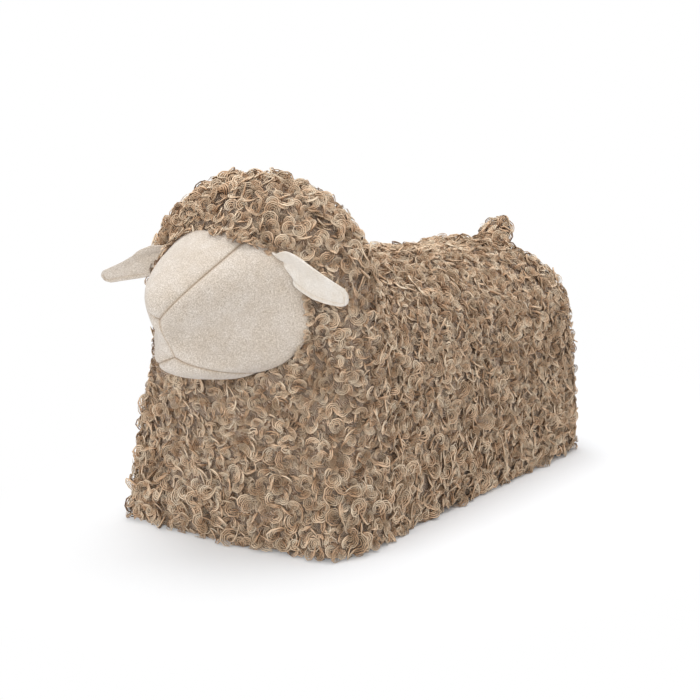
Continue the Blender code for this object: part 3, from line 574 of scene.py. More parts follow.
def pile_material():
    """Curly strands with painted shade at the root that lightens towards the tip, painted shade along each strand's
    lower edges and a painted highlight along its crest, each lock lighter or darker at random.
    """
    shader = Shader("curly_pile")
    # Painted shade at the root of each strand, lightening along it towards the tip
    rise = shader.ramp(shader.attribute("pile_rise"), [
        (0.0, (206, 176, 149)), (0.25, (254, 230, 206)), (0.6, (255, 245, 229)), (1.0, (255, 249, 238))])
    lock = shader.ramp(shader.attribute("pile_tone"), [
        (0.0, (218, 206, 194)), (0.5, (253, 248, 242)), (1.0, (255, 255, 253))])
    # Painted shade at each strand's lower edges and a painted highlight along its crest
    strand = shader.ramp(shader.attribute("pile_strand"), [
        (0.0, (146, 125, 106)), (0.4, (236, 222, 206)), (0.75, (251, 245, 236)), (1.0, (255, 255, 255))])
    patches = shader.ramp(shader.noise(42.0, 2.0), [(0.36, (206, 194, 182)), (0.56, (255, 255, 255))])
    hairs = shader.noise(1500.0, 2.0)
    shader.bump(hairs, 0.3, 0.0003)
    return shader.finish(shader.multiply(rise, lock, strand, patches), shader.scaled(hairs, 0.2, 0.55),
                         Sheen_Weight=0.55, Sheen_Roughness=0.4, Sheen_Tint=colour(248, 230, 206),
                         Specular_IOR_Level=0.35)


def ground_material():
    """The woolly ground under the curls: fine strands that wind every way, with painted shade between them."""
    shader = Shader("pile_ground")
    strands = shader.add("ShaderNodeTexWave", {"Vector": shader.place(), "Scale": 190.0, "Distortion": 22.0,
                                               "Detail": 1.5, "Detail Scale": 0.55}, bands_direction="DIAGONAL")
    woolly = shader.noise(300.0, 4.0, 0.7, 1.0)
    height = shader.maths("ADD", strands.outputs["Fac"], woolly)
    # Painted shade: darker where the strand pattern is low, between the fine strands
    tint = shader.ramp(shader.maths("MULTIPLY", height, 0.5), [
        (0.25, (144, 114, 89)), (0.5, (200, 169, 141)), (0.72, (232, 205, 178))])
    shader.bump(height, 0.9, 0.002)
    return shader.finish(tint, shader.scaled(woolly, 0.15, 0.82), Sheen_Weight=0.3, Specular_IOR_Level=0.1)


def felt_material(name="cream_felt_nap", pale=0.0):
    """Napped cream felt with a fine grain and soft clouds, with painted shade along its seams and round the face's rim.
    """
    shader = Shader(name)
    grain = shader.noise(900.0, 3.0, 0.65)
    tint = shader.ramp(grain, [(0.34, (178, 165, 150)), (0.5, (207, 196, 184)), (0.66, (234, 226, 217))])
    # Painted light: pale mixes the felt towards white, for the more brightly lit left ear
    tint = shader.mix(pale, tint, colour(252, 249, 243))
    clouds = shader.ramp(shader.noise(60.0, 3.0, 0.5), [(0.3, (244, 240, 234)), (0.7, (255, 255, 255))])
    # Painted shade along the sewn seams and round the face's rim, where the fringe hangs over
    seam = shader.ramp(shader.attribute("seam_crease"), [
        (0.0, (255, 255, 255)), (0.5, (247, 242, 235)), (1.0, (222, 210, 196))])
    nap = shader.maths("ADD", grain, shader.maths("MULTIPLY", shader.noise(2200.0, 2.0), 0.5))
    shader.bump(nap, 0.5, 0.0010)
    return shader.finish(shader.multiply(tint, shader.multiply(clouds, seam)), shader.scaled(grain, 0.2, 0.8),
                         Sheen_Weight=0.35, Sheen_Roughness=0.6, Specular_IOR_Level=0.15)


def plywood_material():
    """Birch plywood with a long grain."""
    shader = Shader("birch_plywood_grain")
    stretch = shader.add("ShaderNodeMapping", {"Vector": shader.place(), "Scale": (60, 4, 60)})
    grain = shader.noise(1.0, 5.0, 0.5, place=stretch.outputs["Vector"])
    return shader.follow(grain, [(0.3, (176, 138, 96)), (0.55, (207, 172, 127)), (0.75, (222, 192, 150))],
                         (0.2, 0.5), (0.2, 0.0006))


def foam_material():
    shader = Shader("open_cell_foam")
    return shader.follow(shader.cells(700.0), [(0.1, (206, 190, 140)), (0.6, (240, 228, 186))],
                         (0.1, 0.85), (0.5, 0.001))


def fibre_material():
    shader = Shader("loose_fibre")
    return shader.follow(shader.noise(260.0, 5.0, 0.75, 2.5), [(0.3, (214, 214, 210)), (0.7, (248, 248, 246))],
                         (0.15, 0.8), (0.7, 0.002), Sheen_Weight=0.2)


def cloth_material():
    """Thin bonded cloth with its faint grid of welds."""
    shader = Shader("bonded_black_cloth")
    return shader.follow(shader.cells(600.0, 0.15, "CHEBYCHEV"), [(0.1, (30, 30, 32)), (0.6, (52, 51, 53))],
                         (0.2, 0.72), (0.4, 0.0004))


def glide_material():
    shader = Shader("moulded_glide")
    return shader.follow(shader.noise(700.0, 2.0), [(0.3, (62, 49, 40)), (0.7, (74, 60, 50))],
                         (0.2, 0.34), (0.15, 0.0002))


def steel_material():
    shader = Shader("zinc_plated_steel")
    return shader.follow(shader.noise(900.0, 2.0), [(0.3, (176, 178, 182)), (0.7, (204, 205, 208))],
                         (0.15, 0.25), Metallic=1.0)


# Curls

def swept(path, reach, roll, outline):
    """A closed band swept along a path, its outline given as (across, up) shares of the reach and a shade value, 0 for
    painted shade and 1 for a painted highlight.
    """
    tangents = unit(np.gradient(path, axis=0))
    across = unit(np.cross(tangents, [0.05, 0.03, 1.0]))
    up = np.cross(across, tangents)
    turned = across * math.cos(roll) + up * math.sin(roll)
    raised = up * math.cos(roll) - across * math.sin(roll)
    verts, rise, shade = [], [], []
    for k in range(len(path)):
        for side, height, tint in outline:
            verts.append(path[k] + reach[k] * (turned[k] * side + raised[k] * height))
            rise.append(k / (len(path) - 1))
            shade.append(tint)
    return verts, tube_faces(len(path), len(outline)), rise, shade


def swirl_path(first, turn, radius, steps):
    """Part of a turn that winds inwards."""
    t = np.linspace(0, 1, steps)
    angle = first + turn * t
    wind = radius * (1 - 0.28 * t ** 1.5)
    return np.stack([wind * np.cos(angle), wind * np.sin(angle)], -1), t


def wave_path(bend, length, aside, steps):
    """A run that bends one way and then the other, set aside from its neighbours."""
    t = np.linspace(0, 1, steps)
    heading = bend * np.sin(math.tau * 0.62 * t - 0.5)
    step = length / (steps - 1)
    x = np.concatenate([[0], np.cumsum(np.cos(heading[:-1]) * step)]) - length * 0.4
    y = np.concatenate([[0], np.cumsum(np.sin(heading[:-1]) * step)])
    return np.stack([x - aside * np.sin(heading), y + aside * np.cos(heading)], -1), t


def lock_mesh(name, random, way, swirl):
    """A lock of strands side by side that rises off the ground and winds into a swirl, or runs in a wave."""
    height = random.uniform(*(LOW_LOCKS if random.random() < LOW_LOCK_SHARE else TALL_LOCKS))
    lean = math.radians(random.uniform(-LOCK_LEAN_DEG, LOCK_LEAN_DEG))
    outer = random.uniform(*SWIRL_RADII)
    turn = math.radians(random.uniform(*SWIRL_TURNS_DEG))
    bend = random.uniform(*WAVE_BENDS)
    length = random.uniform(*WAVE_LENGTHS)
    verts, faces, rise, shade = [], [], [], []
    for k in range(LOCK_STRANDS):
        loose = k == LOCK_STRANDS - 1 and not swirl
        start = math.radians(random.uniform(-LOCK_LEAN_DEG, LOCK_LEAN_DEG))
        vary = random.uniform(0.85, 1.1)
        if swirl:
            flat, t = swirl_path(start, turn * vary * way, outer - SWIRL_PITCH * k, 9 - k)
        else:
            flat, t = wave_path(way * bend * vary, length, LOOSE_ASIDE if loose else WAVE_PITCH * (k - 1), 7)
        climb = 1 - (1 - np.clip(t * 2.6, 0, 1)) ** 2
        z = -ROOT_DEPTH + (height + OUTER_RISE - STRAND_STEP * k) * climb - TIP_DROP * t ** 2
        z = z + random.uniform(-STRAND_STRAY, STRAND_STRAY)
        x, y = flat.T
        path = np.stack([x * math.cos(lean), y, z + x * math.sin(lean) * climb], -1)
        taper = np.sin(np.linspace(0.6, math.pi - 0.10, len(t))) ** 0.6
        half = LOOSE_HALF_WIDTH if loose else random.uniform(*STRAND_HALF_WIDTHS)
        roll = way * math.radians(random.uniform(-STRAND_ROLL_DEG, STRAND_ROLL_DEG))
        own, own_faces, own_rise, own_shade = swept(path, half * taper, roll, STRAND_OUTLINE)
        faces += [[len(verts) + corner for corner in face] for face in own_faces]
        verts += own
        rise += own_rise
        # Random lightness of each strand, dropping for each lower, inner one as painted shade deep in the lock
        tone_and_depth_shade = random.uniform(0.86, 1.0) - (0.07 * k if swirl else 0.03 * k)
        shade += [tone_and_depth_shade * value for value in own_shade]
    mesh = mesh_from(name, verts, faces)
    face_outwards(mesh)
    add_attribute(mesh, "pile_rise", rise)
    add_attribute(mesh, "pile_strand", shade)
    return mesh


def lock_collection():
    """All kinds of lock, wound both ways, with a wave among every eight."""
    random = np.random.default_rng(7)
    group = bpy.data.collections.new("curl_locks")
    for k in range(LOCK_KINDS):
        title = "curl_lock_%02d" % k
        mesh = lock_mesh(title, random, 1 if k % 2 else -1, k % 8 < 7)
        group.objects.link(bpy.data.objects.new(title, mesh))
    return group


class Tree(Wiring):
    """A Geometry Nodes tree being wired up, with named inputs."""

    def __init__(self, name, inputs):
        self.tree = bpy.data.node_groups.new(name, "GeometryNodeTree")
        super().__init__(self.tree)
        face = self.tree.interface
        for way in ("INPUT", "OUTPUT"):
            face.new_socket("Geometry", in_out=way, socket_type="NodeSocketGeometry")
        self.ids = {}
        for label, kind, value in inputs:
            socket = face.new_socket(label, in_out="INPUT", socket_type="NodeSocket" + kind)
            socket.default_value = value
            self.ids[label] = socket.identifier
        self.start, self.end = self.add("NodeGroupInput"), self.add("NodeGroupOutput")

    def value(self, label):
        return self.start.outputs[label]

    def attribute(self, name):
        return self.add("GeometryNodeInputNamedAttribute", {"Name": name}, data_type="FLOAT").outputs["Attribute"]

    def random(self, low, high, seed, kind="FLOAT"):
        node = self.add("FunctionNodeRandomValue", {"Seed": seed}, data_type=kind)
        sockets = [s for s in node.inputs if s.enabled]
        sockets[0].default_value, sockets[1].default_value = low, high
        return [s for s in node.outputs if s.enabled][0]

    def close(self, instances, material):
        """Make the instances one real mesh in its material, as the tree's result."""
        real = self.add("GeometryNodeRealizeInstances", {"Geometry": instances})
        painted = self.add("GeometryNodeSetMaterial", {"Geometry": real.outputs["Geometry"],
                                                       "Material": self.value(material)})
        self.feed(self.end.inputs["Geometry"], painted.outputs["Geometry"])


def curl_tree(locks, material):
    """Scatters locks over the ground, each spun, tilted and sized at random, and joins them."""
    tree = Tree("curls_on_ground", [("Spacing", "Float", LOCK_SPACING), ("Most per square metre", "Float", 60000.0),
                                    ("Seed", "Int", 1), ("Locks", "Collection", locks),
                                    ("Pile", "Material", material)])
    scatter = tree.add("GeometryNodeDistributePointsOnFaces", {
        "Mesh": tree.value("Geometry"), "Distance Min": tree.value("Spacing"),
        "Density Max": tree.value("Most per square metre"), "Density Factor": tree.attribute("pile_cover"),
        "Seed": tree.value("Seed")}, distribute_method="POISSON")
    turned = scatter.outputs["Rotation"]
    for axis, low, high, seed in (((0, 0, 1), 0.0, math.tau, 11), ((1, 0, 0), -LOCK_TILT, LOCK_TILT, 12),
                                  ((0, 1, 0), -LOCK_TILT, LOCK_TILT, 13)):
        turn = tree.add("FunctionNodeAxisAngleToRotation", {"Axis": axis, "Angle": tree.random(low, high, seed)})
        turned = tree.add("FunctionNodeRotateRotation", {"Rotation": turned, "Rotate By": turn.outputs["Rotation"]},
                          rotation_space="LOCAL").outputs["Rotation"]
    size = tree.maths("MULTIPLY", tree.attribute("pile_size"), tree.random(*LOCK_SIZES, 14))
    kinds = tree.add("GeometryNodeCollectionInfo", {"Collection": tree.value("Locks"), "Separate Children": True,
                                                    "Reset Children": True})
    place = tree.add("GeometryNodeInstanceOnPoints", {
        "Points": scatter.outputs["Points"], "Instance": kinds.outputs["Instances"], "Pick Instance": True,
        "Instance Index": tree.random(0, LOCK_KINDS - 1, 15, "INT"), "Rotation": turned, "Scale": size})
    toned = tree.add("GeometryNodeStoreNamedAttribute", {
        "Geometry": place.outputs["Instances"], "Name": "pile_tone", "Value": tree.random(0.0, 1.0, 16)},
        data_type="FLOAT", domain="INSTANCE")
    tree.close(toned.outputs["Geometry"], "Pile")
    return tree


def made_plain(item, tree, **values):
    """The object with its Geometry Nodes result as a plain mesh."""
    change = item.modifiers.new("made", "NODES")
    change.node_group = tree.tree
    for label, value in values.items():
        change[tree.ids[label]] = value
    bpy.context.view_layer.update()
    graph = bpy.context.evaluated_depsgraph_get()
    mesh = bpy.data.meshes.new_from_object(item.evaluated_get(graph), depsgraph=graph)
    item.modifiers.remove(change)
    base, item.data = item.data, mesh
    mesh.name = item.name
    bpy.data.meshes.remove(base)
    return item


def curls_on(ground, tree, size, cover=1.0, **values):
    """Curls over a mesh, named as the mesh is, by their size and cover at each of its points."""
    for label, value in (("pile_cover", cover), ("pile_size", size)):
        add_attribute(ground, label, np.broadcast_to(value, len(ground.vertices)))
    piece = made_plain(new_object(ground.name, ground), tree, **values)
    keep_off_floor(piece.data)
    return piece


def keep_off_floor(mesh):
    """Lift what hangs below the floor's clearance, and press it nearly flat."""
    places = np.empty(len(mesh.vertices) * 3, np.float32)
    mesh.vertices.foreach_get("co", places)
    places = places.reshape(-1, 3)
    low = places[:, 2] < FLOOR_CLEARANCE
    places[low, 2] = FLOOR_CLEARANCE + FLOOR_PRESS * (FLOOR_CLEARANCE - places[low, 2])
    mesh.vertices.foreach_set("co", places.ravel())
    mesh.update()


# Fleece cover

def near_line(points, start, end):
    """Distance of each point from a straight line's stretch."""
    start, way = np.asarray(start), np.subtract(end, start)
    t = np.clip(((points - start) @ way) / (way @ way), 0, 1)
    return np.linalg.norm(points - start - t[:, None] * way, axis=1)


def behind_cheek(points):
    """1 on the right of the neck, where the pile lies flat behind the cheek, and 0 elsewhere."""
    x, y, z = points.T
    return (between(x, -0.060, -0.090) * between(y, -0.200, -0.220) * between(z, 0.135, 0.175)
            * between(z, 0.292, 0.272))


def fuller_pile(points):
    """Over 1 near the floor, on nape and crown, by the tail and along the rump's top, and under 1 lower down it."""
    x, y, z = points.T
    low = between(z, 0.12, 0.06)
    corner = bell(y, BODY_BEHIND_MIDDLE + BODY_HALF_LENGTH, 0.04) * bell(z, 0.264, 0.032)
    nape = bell(y, -0.135, 0.035) * bell(z, 0.305, 0.03)
    crown = between(z, 0.360, 0.375) * between(x, 0.03, -0.02)
    tail_root = bell(y, 0.268, 0.028) * bell(x, 0, 0.05) * (z > 0.26)
    rump = between(y, 0.285, 0.305) * between(z, 0.24, 0.21)
    return 1 + 0.18 * low + 0.65 * corner + 0.2 * nape + 0.30 * crown + 0.5 * tail_root - 0.22 * rump


def curl_size(surface, clear):
    """Size of the curls: less by the face, the ears and behind the cheek, and more over the brow."""
    rim = between(in_face(surface), 1.0, 1.08)
    over_brow = between(surface[:, 2] - HEAD_MIDDLE_HEIGHT, 0.045, 0.065)
    beside_face = 0.80 + 0.20 * rim - 0.45 * (1 - rim) * between(surface[:, 0], 0, -0.06)
    beside_face = beside_face * (1 - over_brow) + 1.05 * over_brow
    beside_ear = 0.55 + 0.45 * between(clear, 0.004, 0.018)
    return beside_face * (1 - 0.46 * behind_cheek(surface)) * beside_ear * fuller_pile(surface)


def curl_strips(own, cells, count):
    """A panel's cells in strips across its longer way."""
    middles = np.array([own[cell].mean(0) for cell in cells])
    along = middles[:, 1 if np.ptp(middles[:, 1]) > np.ptp(middles[:, 0]) else 0]
    edges = np.quantile(along, np.linspace(0, 1, count + 1))
    strips = np.clip(np.searchsorted(edges, along, side="right") - 1, 0, count - 1)
    return [[cell for cell, strip in zip(cells, strips) if strip == k] for k in range(count)]


def dress_cover(tree, ground):
    """Backing and curls of each cover panel."""
    points, away, panels = refine_net()
    pieces = []
    seed = 0
    for name, cells in panels.items():
        own, kept = open_for_face(points, cells)
        x, y, z = own.T
        waves = np.sin(x * 410 + 3 * np.sin(z * 170))
        lumps = GROUND_LUMPS * waves * np.sin(y * 380 + z * 350 + 3 * np.sin(x * 150))
        mesh = shell(name + "_backing", own - (PILE_DEPTH - lumps)[:, None] * away, own - BACKING_DEPTH * away, kept)
        backing = new_object(name + "_backing", mesh, ground)
        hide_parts(name)
        pieces.append(backing)
        for strip, chosen in enumerate(curl_strips(own, kept, CURL_STRIPS[name])):
            used, faces = renumbered(chosen)
            mesh = mesh_from("%s_curls_%d" % (name, strip + 1), (own - PILE_DEPTH * away)[used], faces)
            surface = own[used]
            clear = np.min([near_line(surface, *line) for mirror in (1, -1)
                            for line in (ear_line(mirror), ear_reach(mirror))], axis=0)
            seed += 1
            pieces.append(curls_on(mesh, tree, curl_size(surface, clear), between(clear, 0.003, 0.007), Seed=seed))
    return pieces


def fringe(tree):
    """Curls that hang over the edge of the face, furthest over the left brow and the right cheek."""
    degrees = np.linspace(*FRINGE_DEG, FRINGE_STEPS)
    reach = FRINGE_REACH
    for extra, at, spread in FRINGE_EXTRA:
        reach = reach + extra * bell(degrees, at, spread)
    beside_ear = np.abs(degrees - LEFT_EAR_AT_DEG)
    reach = np.where(beside_ear < 16, 0.004, reach)
    bare = (beside_ear < 15) | (np.abs(degrees - BARE_BROW_AT_DEG) < 9)
    rows = (0.0, 0.33, 0.67, 1.0)
    verts = np.concatenate([felt_points(np.radians(degrees), reach * share) for share in rows])
    verts = stuffed(verts) + unit(verts - HEART) * FRINGE_LIFT
    faces = grid_faces(len(rows), len(degrees))
    first = np.cross(verts[faces[0][1]] - verts[faces[0][0]], verts[faces[0][3]] - verts[faces[0][0]])
    if first @ (verts[0] - HEART) < 0:
        faces = [face[::-1] for face in faces]
    mesh = mesh_from("fleece_crown_fringe", verts, faces)
    return curls_on(mesh, tree, FRINGE_SIZE, np.tile(np.where(bare, 0.0, 1.0), len(rows)), Seed=77,
                    Spacing=FRINGE_SPACING, **{"Most per square metre": 200000.0})


def tail(ground, tree):
    """A short stuffed stub under curls."""
    along = np.array([0, math.cos(TAIL_TILT), math.sin(TAIL_TILT)])
    lift = np.array([0, -math.sin(TAIL_TILT), math.cos(TAIL_TILT)])
    root_y = BODY_BEHIND_MIDDLE + BODY_HALF_LENGTH - TAIL_ROOT_INSET
    root = np.array([0, root_y, top_height(np.array([root_y]))[0]])
    verts, sides = [], 24
    stations = np.linspace(-0.1, 0.90, 14)
    for u in stations:
        share = np.interp(u, TAIL_STATIONS, TAIL_SIZES)
        half_width = TAIL_HALF_WIDTH * share - TAIL_SIDE_PILE
        half_height = TAIL_HALF_HEIGHT * share - TAIL_TOP_PILE
        for k in range(sides):
            angle = math.tau * k / sides
            verts.append(root + along * TAIL_LENGTH * u + lift * half_height * math.sin(angle)
                         + np.array([1, 0, 0]) * half_width * math.cos(angle))
    faces = tube_faces(len(stations), sides)
    mesh = mesh_from("fleece_tail_backing", verts, faces)
    face_outwards(mesh)
    backing = new_object("fleece_tail_backing", mesh, ground)
    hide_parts("fleece_tail")
    mesh = mesh_from("fleece_tail_curls", verts, faces[:-2] + faces[-1:])
    face_outwards(mesh)
    behind = np.array([(vert.co.y - root[1]) / 0.055 for vert in mesh.vertices])
    return [backing, curls_on(mesh, tree, 1.0 + 0.5 * np.clip(behind, 0, 1), Seed=90)]


def hem(ground, tree):
    """The cover's edge turned under the base, with its pile pressed short."""
    mesh = copy_of("fleece_hem_band", "fleece_hem_backing", ground)
    backing = new_object("fleece_hem_backing", mesh)
    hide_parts("fleece_hem_band")
    under = bpy.data.meshes.new("fleece_hem_curls")
    with reworked(under, mesh) as work:
        bmesh.ops.delete(work, geom=[f for f in work.faces if f.normal.z > -0.7], context="FACES")
    return [backing, curls_on(under, tree, 0.3, Seed=95)]


# Face

def face_outline(angles):
    power = 2 / FACE_SQUARENESS
    sine, cosine = np.sin(angles), np.cos(angles)
    half_height = np.where(cosine > 0, FACE_RISE, FACE_DROP)
    x = FACE_HALF_WIDTH * np.sign(sine) * np.abs(sine) ** power
    z = HEAD_MIDDLE_HEIGHT + half_height * np.sign(cosine) * np.abs(cosine) ** power
    return front_point(x, z)


def face_limits():
    """Where each face panel starts and ends, as angles round the opening."""
    power = FACE_SQUARENESS / 2
    brow = math.asin((BROW_HALF_WIDTH / FACE_HALF_WIDTH) ** power)
    far_brow = math.asin((FAR_BROW_HALF_WIDTH / FACE_HALF_WIDTH) ** power)
    jaw = math.pi - math.asin((JAW_HALF_WIDTH / FACE_HALF_WIDTH) ** power)
    return {"face_forehead": (-far_brow, brow), "face_cheek_left": (brow, jaw), "face_chin": (jaw, math.tau - jaw),
            "face_cheek_right": (-jaw, -far_brow)}


def face_surface(name, angles, shares):
    """Points of one face panel, by angle round the opening and share of the way to the nose or mouth."""
    outline = face_outline(angles)
    way_down = np.linspace(0, 1, len(angles))
    if name == "face_forehead":
        way_down = 0 * way_down
    elif name == "face_chin":
        way_down = 0 * way_down + 1
    elif name == "face_cheek_right":
        way_down = way_down[::-1]
    ridge = NOSE + (MOUTH - NOSE) * way_down[:, None]
    ridge[:, 1] -= STEM_SWELL * 6.75 * way_down * (1 - way_down) ** 2
    sideways = np.sin(angles)[:, None] ** 2
    upright = np.where(np.cos(angles)[:, None] > 0, BROW_CURVE, CHIN_CURVE)
    control = outline + (ridge - outline) * (upright + (CHEEK_CURVE - upright) * sideways)
    t = shares[:, None, None]
    return outline * (1 - t) ** 2 + 2 * control * t * (1 - t) + ridge * t ** 2


def felt_points(angles, shares):
    """Points on the felt at angles round the opening, each its own share of the way to the nose."""
    steps = np.linspace(0, 0.3, 16)
    points = np.zeros((len(angles), 3))
    for name, (low, high) in face_limits().items():
        if name == "face_chin":
            continue
        span = np.linspace(low, high, CHEEK_CELLS + 1)
        grid = face_surface(name, span, steps)
        for k in np.flatnonzero((angles >= low) & (angles <= high)):
            line = np.array([[np.interp(angles[k], span, row[:, axis]) for axis in range(3)] for row in grid])
            points[k] = [np.interp(shares[k], steps, line[:, axis]) for axis in range(3)]
    return points


def stuffed(points):
    """The face as it is really stuffed: drawn in by the right ear, hollow beside the stem, full at the jowl."""
    x = points[:, 0]
    swell = 0
    for side, start, end, width, height in STUFFING:
        swell = swell + (x * side > 0) * height * bell(near_line(points, start, end), 0, width)
    swell = swell * (1 - bell(x, 0, 0.006))
    drawn_in = np.exp(-(((points - DRAWN_IN_AT) / DRAWN_IN_SPREAD) ** 2).sum(1))
    return points + unit(points - HEART) * swell[:, None] + drawn_in[:, None] * DRAWN_IN_BY


def face_panel(name, limits, material):
    """One felt panel that swells between its sewn seams, as a closed sheet."""
    across = FEWER_CELLS.get(name, CHEEK_CELLS)
    shares = 1 - (1 - np.linspace(0, 1, FELT_ROWS)) ** 1.5
    grid = face_surface(name, np.linspace(*limits, across + 1), shares)
    rows, wide = grid.shape[:2]
    points = grid.reshape(-1, 3)
    normal = unit(np.cross(np.gradient(grid, axis=0), np.gradient(grid, axis=1))).reshape(-1, 3)
    away = unit(points - HEART)
    normal = np.where((away * normal).sum(1)[:, None] < 0, -normal, normal)
    seams = np.concatenate([grid[:, 0], grid[:, -1]] + ([grid[-1]] if "cheek" in name else []))
    gap = np.array([np.linalg.norm(seams - p, axis=1).min() for p in points])
    settled = between(gap, 0, 0.012)[:, None]
    normal = unit(away + (normal - away) * settled * settled * (3 - 2 * settled))
    rim = np.linalg.norm(points - np.tile(grid[0], (rows, 1)), axis=1)
    swell = FELT_SWELL * (1 - np.exp(-gap / 0.011)) - SEAM_GROOVE * bell(gap, 0, SEAM_WIDTH) - 0.0006
    swell = swell - 0.0010 * np.exp(-rim / 0.004)
    soft = np.sin(points[:, 0] * 95 + 1.3) * np.sin(points[:, 2] * 80 + points[:, 1] * 60) * 0.0006
    middle = stuffed(points)
    outer = middle + normal * (swell + soft * between(gap, 0, 0.02))[:, None]
    mesh = shell(name + "_felt", outer, middle - normal * (FELT + 0.0004), grid_faces(rows, wide))
    # Painted shade in the seam grooves and round the rim under the fringe
    painted_crease_shade = np.maximum(bell(gap, 0, 0.0013), 0.55 * np.exp(-(rim / 0.006) ** 1.5))
    add_attribute(mesh, "seam_crease", np.tile(painted_crease_shade, 2))
    face_outwards(mesh)
    piece = new_object(name + "_felt", mesh, material)
    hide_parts(name)
    return piece


# Ears

def ear_line(mirror):
    """Top and low end of the seam that holds an ear, just proud of the cover."""
    seam = face_outline(np.radians(EAR_ROOT_DEG))
    middle = seam.mean(0)[None]
    out = unit(field_slope(middle))[0] * (EAR_LIFT - distance(middle)[0])
    return (seam + out) * np.array([mirror, 1, 1])


def ear_axes(mirror):
    along = unit(np.array([math.cos(EAR_DROOP), -math.sin(EAR_FORWARD), -math.sin(EAR_DROOP)]))
    return along * np.array([mirror, 1, 1])


def ear_reach(mirror):
    """Root and half of the way out of an ear, which the curls keep clear of."""
    root = ear_line(mirror).mean(0)
    return root, root + ear_axes(mirror) * EAR_CLEAR


def ear(side, mirror, material):
    """A floppy ear of two felt layers with a sewn edge, cupped and gathered at the root."""
    top, low = ear_line(mirror)
    root = (top + low) / 2
    along = ear_axes(mirror)
    hinge = unit(low - top)
    front = unit(np.cross(hinge, along))
    front = front if front[1] < 0 else -front
    across = unit(np.cross(along, front))
    across = across if across @ hinge > 0 else -across
    half_root = np.linalg.norm(low - top) / 2
    lap = EAR_LAP[side]
    u = np.concatenate([np.linspace(-lap, 0, 9)[:-1], 1 - (1 - np.linspace(0, 1, 77)) ** 1.5])[:, None]
    out = np.clip(u, 0, None)
    wide = 64
    angle = math.tau * np.arange(wide) / wide
    share, face = -np.cos(angle), np.sin(angle)
    close = np.sqrt(np.clip(1 - (np.clip(u - 0.90, 0, None) / 0.102) ** 2, 0, None))
    top_reach, low_reach = (np.interp(u, EAR_STATIONS, reach) * close for reach in EAR_REACH[side])
    reach = np.where(share > 0, low_reach, top_reach)
    gathered = out / EAR_GATHER
    reach = np.where(gathered < 1, reach * gathered + half_root * (1 - gathered), reach)
    edge = np.minimum((1 - np.abs(share)) * reach, (1 - u) * EAR_LENGTH)
    swell = np.sin(math.pi * np.clip(0.12 + u * 0.95, 0.03, 1)) ** 0.7
    thick = 0.0013 * np.clip(edge / 0.0012, 0, 1) ** 0.5 + (0.0006 + 0.0020 * swell) * (1 - share ** 2)
    sewn = bell(edge, EAR_SEAM_IN, EAR_SEAM_WIDTH) * between(out, 0, 0.15)
    sewn = sewn * np.clip(np.clip((share + 0.3) / 0.3, 0, None) + np.clip(u - 0.8, 0, None) * 5, 0, 1)
    cup = EAR_CUP * share ** 2 * swell
    if side == "left":
        cup = cup + EAR_LOBE_CUP * np.clip(share, 0, None) * between(out, 0, 0.1) * (1 - u)
    fold = EAR_FOLD * bell(share, -0.25, 0.22) * np.clip(1 - u / 0.42, 0, 1)
    layer = np.where(np.abs(face) > 1e-9, np.sign(face), 0)
    lift = cup - fold + layer * (thick - EAR_SEAM_GROOVE * sewn)
    turn = np.clip(1 - u / 0.2, 0, 1)
    way = unit(across * (1 - turn) + hinge * turn)
    spots = (root + along * EAR_LENGTH * u)[:, None] + way[:, None] * (reach * share)[..., None]
    spots = spots + front * lift[..., None]
    if side == "right":
        lapped = u[:, 0] < 0
        under = u[lapped]
        at = np.radians(-53.5 - 11.5 * share * (1 + under))
        held = stuffed(felt_points(at.ravel(), np.repeat(-0.75 * under, wide))).reshape(-1, wide, 3)
        height = 0.0028 + 0.0009 * face * (1 - (under / lap) ** 2)
        held = held + unit(held - HEART) * height[..., None]
        onto = np.clip(-under / 0.07, 0, 1)[..., None]
        spots[lapped] = spots[lapped] * (1 - onto) + held * onto
    rows = len(u)
    ends = [list(range(wide)), [(rows - 1) * wide + k for k in range(wide)][::-1]]
    mesh = mesh_from("ear_%s_felt" % side, spots.reshape(-1, 3), grid_faces(rows, wide, True) + ends)
    # Painted shade along the ear's sewn edge
    add_attribute(mesh, "seam_crease", (0.4 * sewn).ravel())
    face_outwards(mesh)
    piece = new_object("ear_%s_felt" % side, mesh, material)
    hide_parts("ear_%s_front" % side, "ear_%s_back" % side)
    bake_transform(piece)


# Padding and underside

def copy_of(node, name, material):
    """A node's solid, merged and in its material, as the start of a dressed piece."""
    mesh = bpy.data.meshes.new(name)
    face_outwards(mesh, frame["nodes"][node].data)
    mesh.materials.append(material)
    return mesh


def padding(node, name, material):
    mesh = copy_of(node, name, material)
    mesh.shade_smooth()
    mesh.set_sharp_from_angle(angle=math.radians(40))
    piece = new_object(name, mesh)
    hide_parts(node)
    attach(piece, "footstool")
    return piece


def muzzle_filling():
    """The filling behind the felt, which follows the felt as it is stuffed."""
    mesh = padding("face_filling", "muzzle_filling", fibre_material()).data
    with reworked(mesh) as work:
        bmesh.ops.subdivide_edges(work, edges=work.edges[:], cuts=2, use_grid_fill=True)
        for vert, spot in zip(work.verts, stuffed(np.array([vert.co for vert in work.verts]))):
            vert.co = spot


def base_line(inset, count):
    """Points round the base, an inset inside the form's foot."""
    angles = np.linspace(0, math.tau, count, endpoint=False)
    middle = np.tile([0, BODY_BEHIND_MIDDLE, HEM_HEIGHT], (count, 1))
    out = np.stack([np.cos(angles) * 0.5, np.sin(angles) * 0.5, 0 * angles], -1)
    return search(middle, middle + out, -inset)


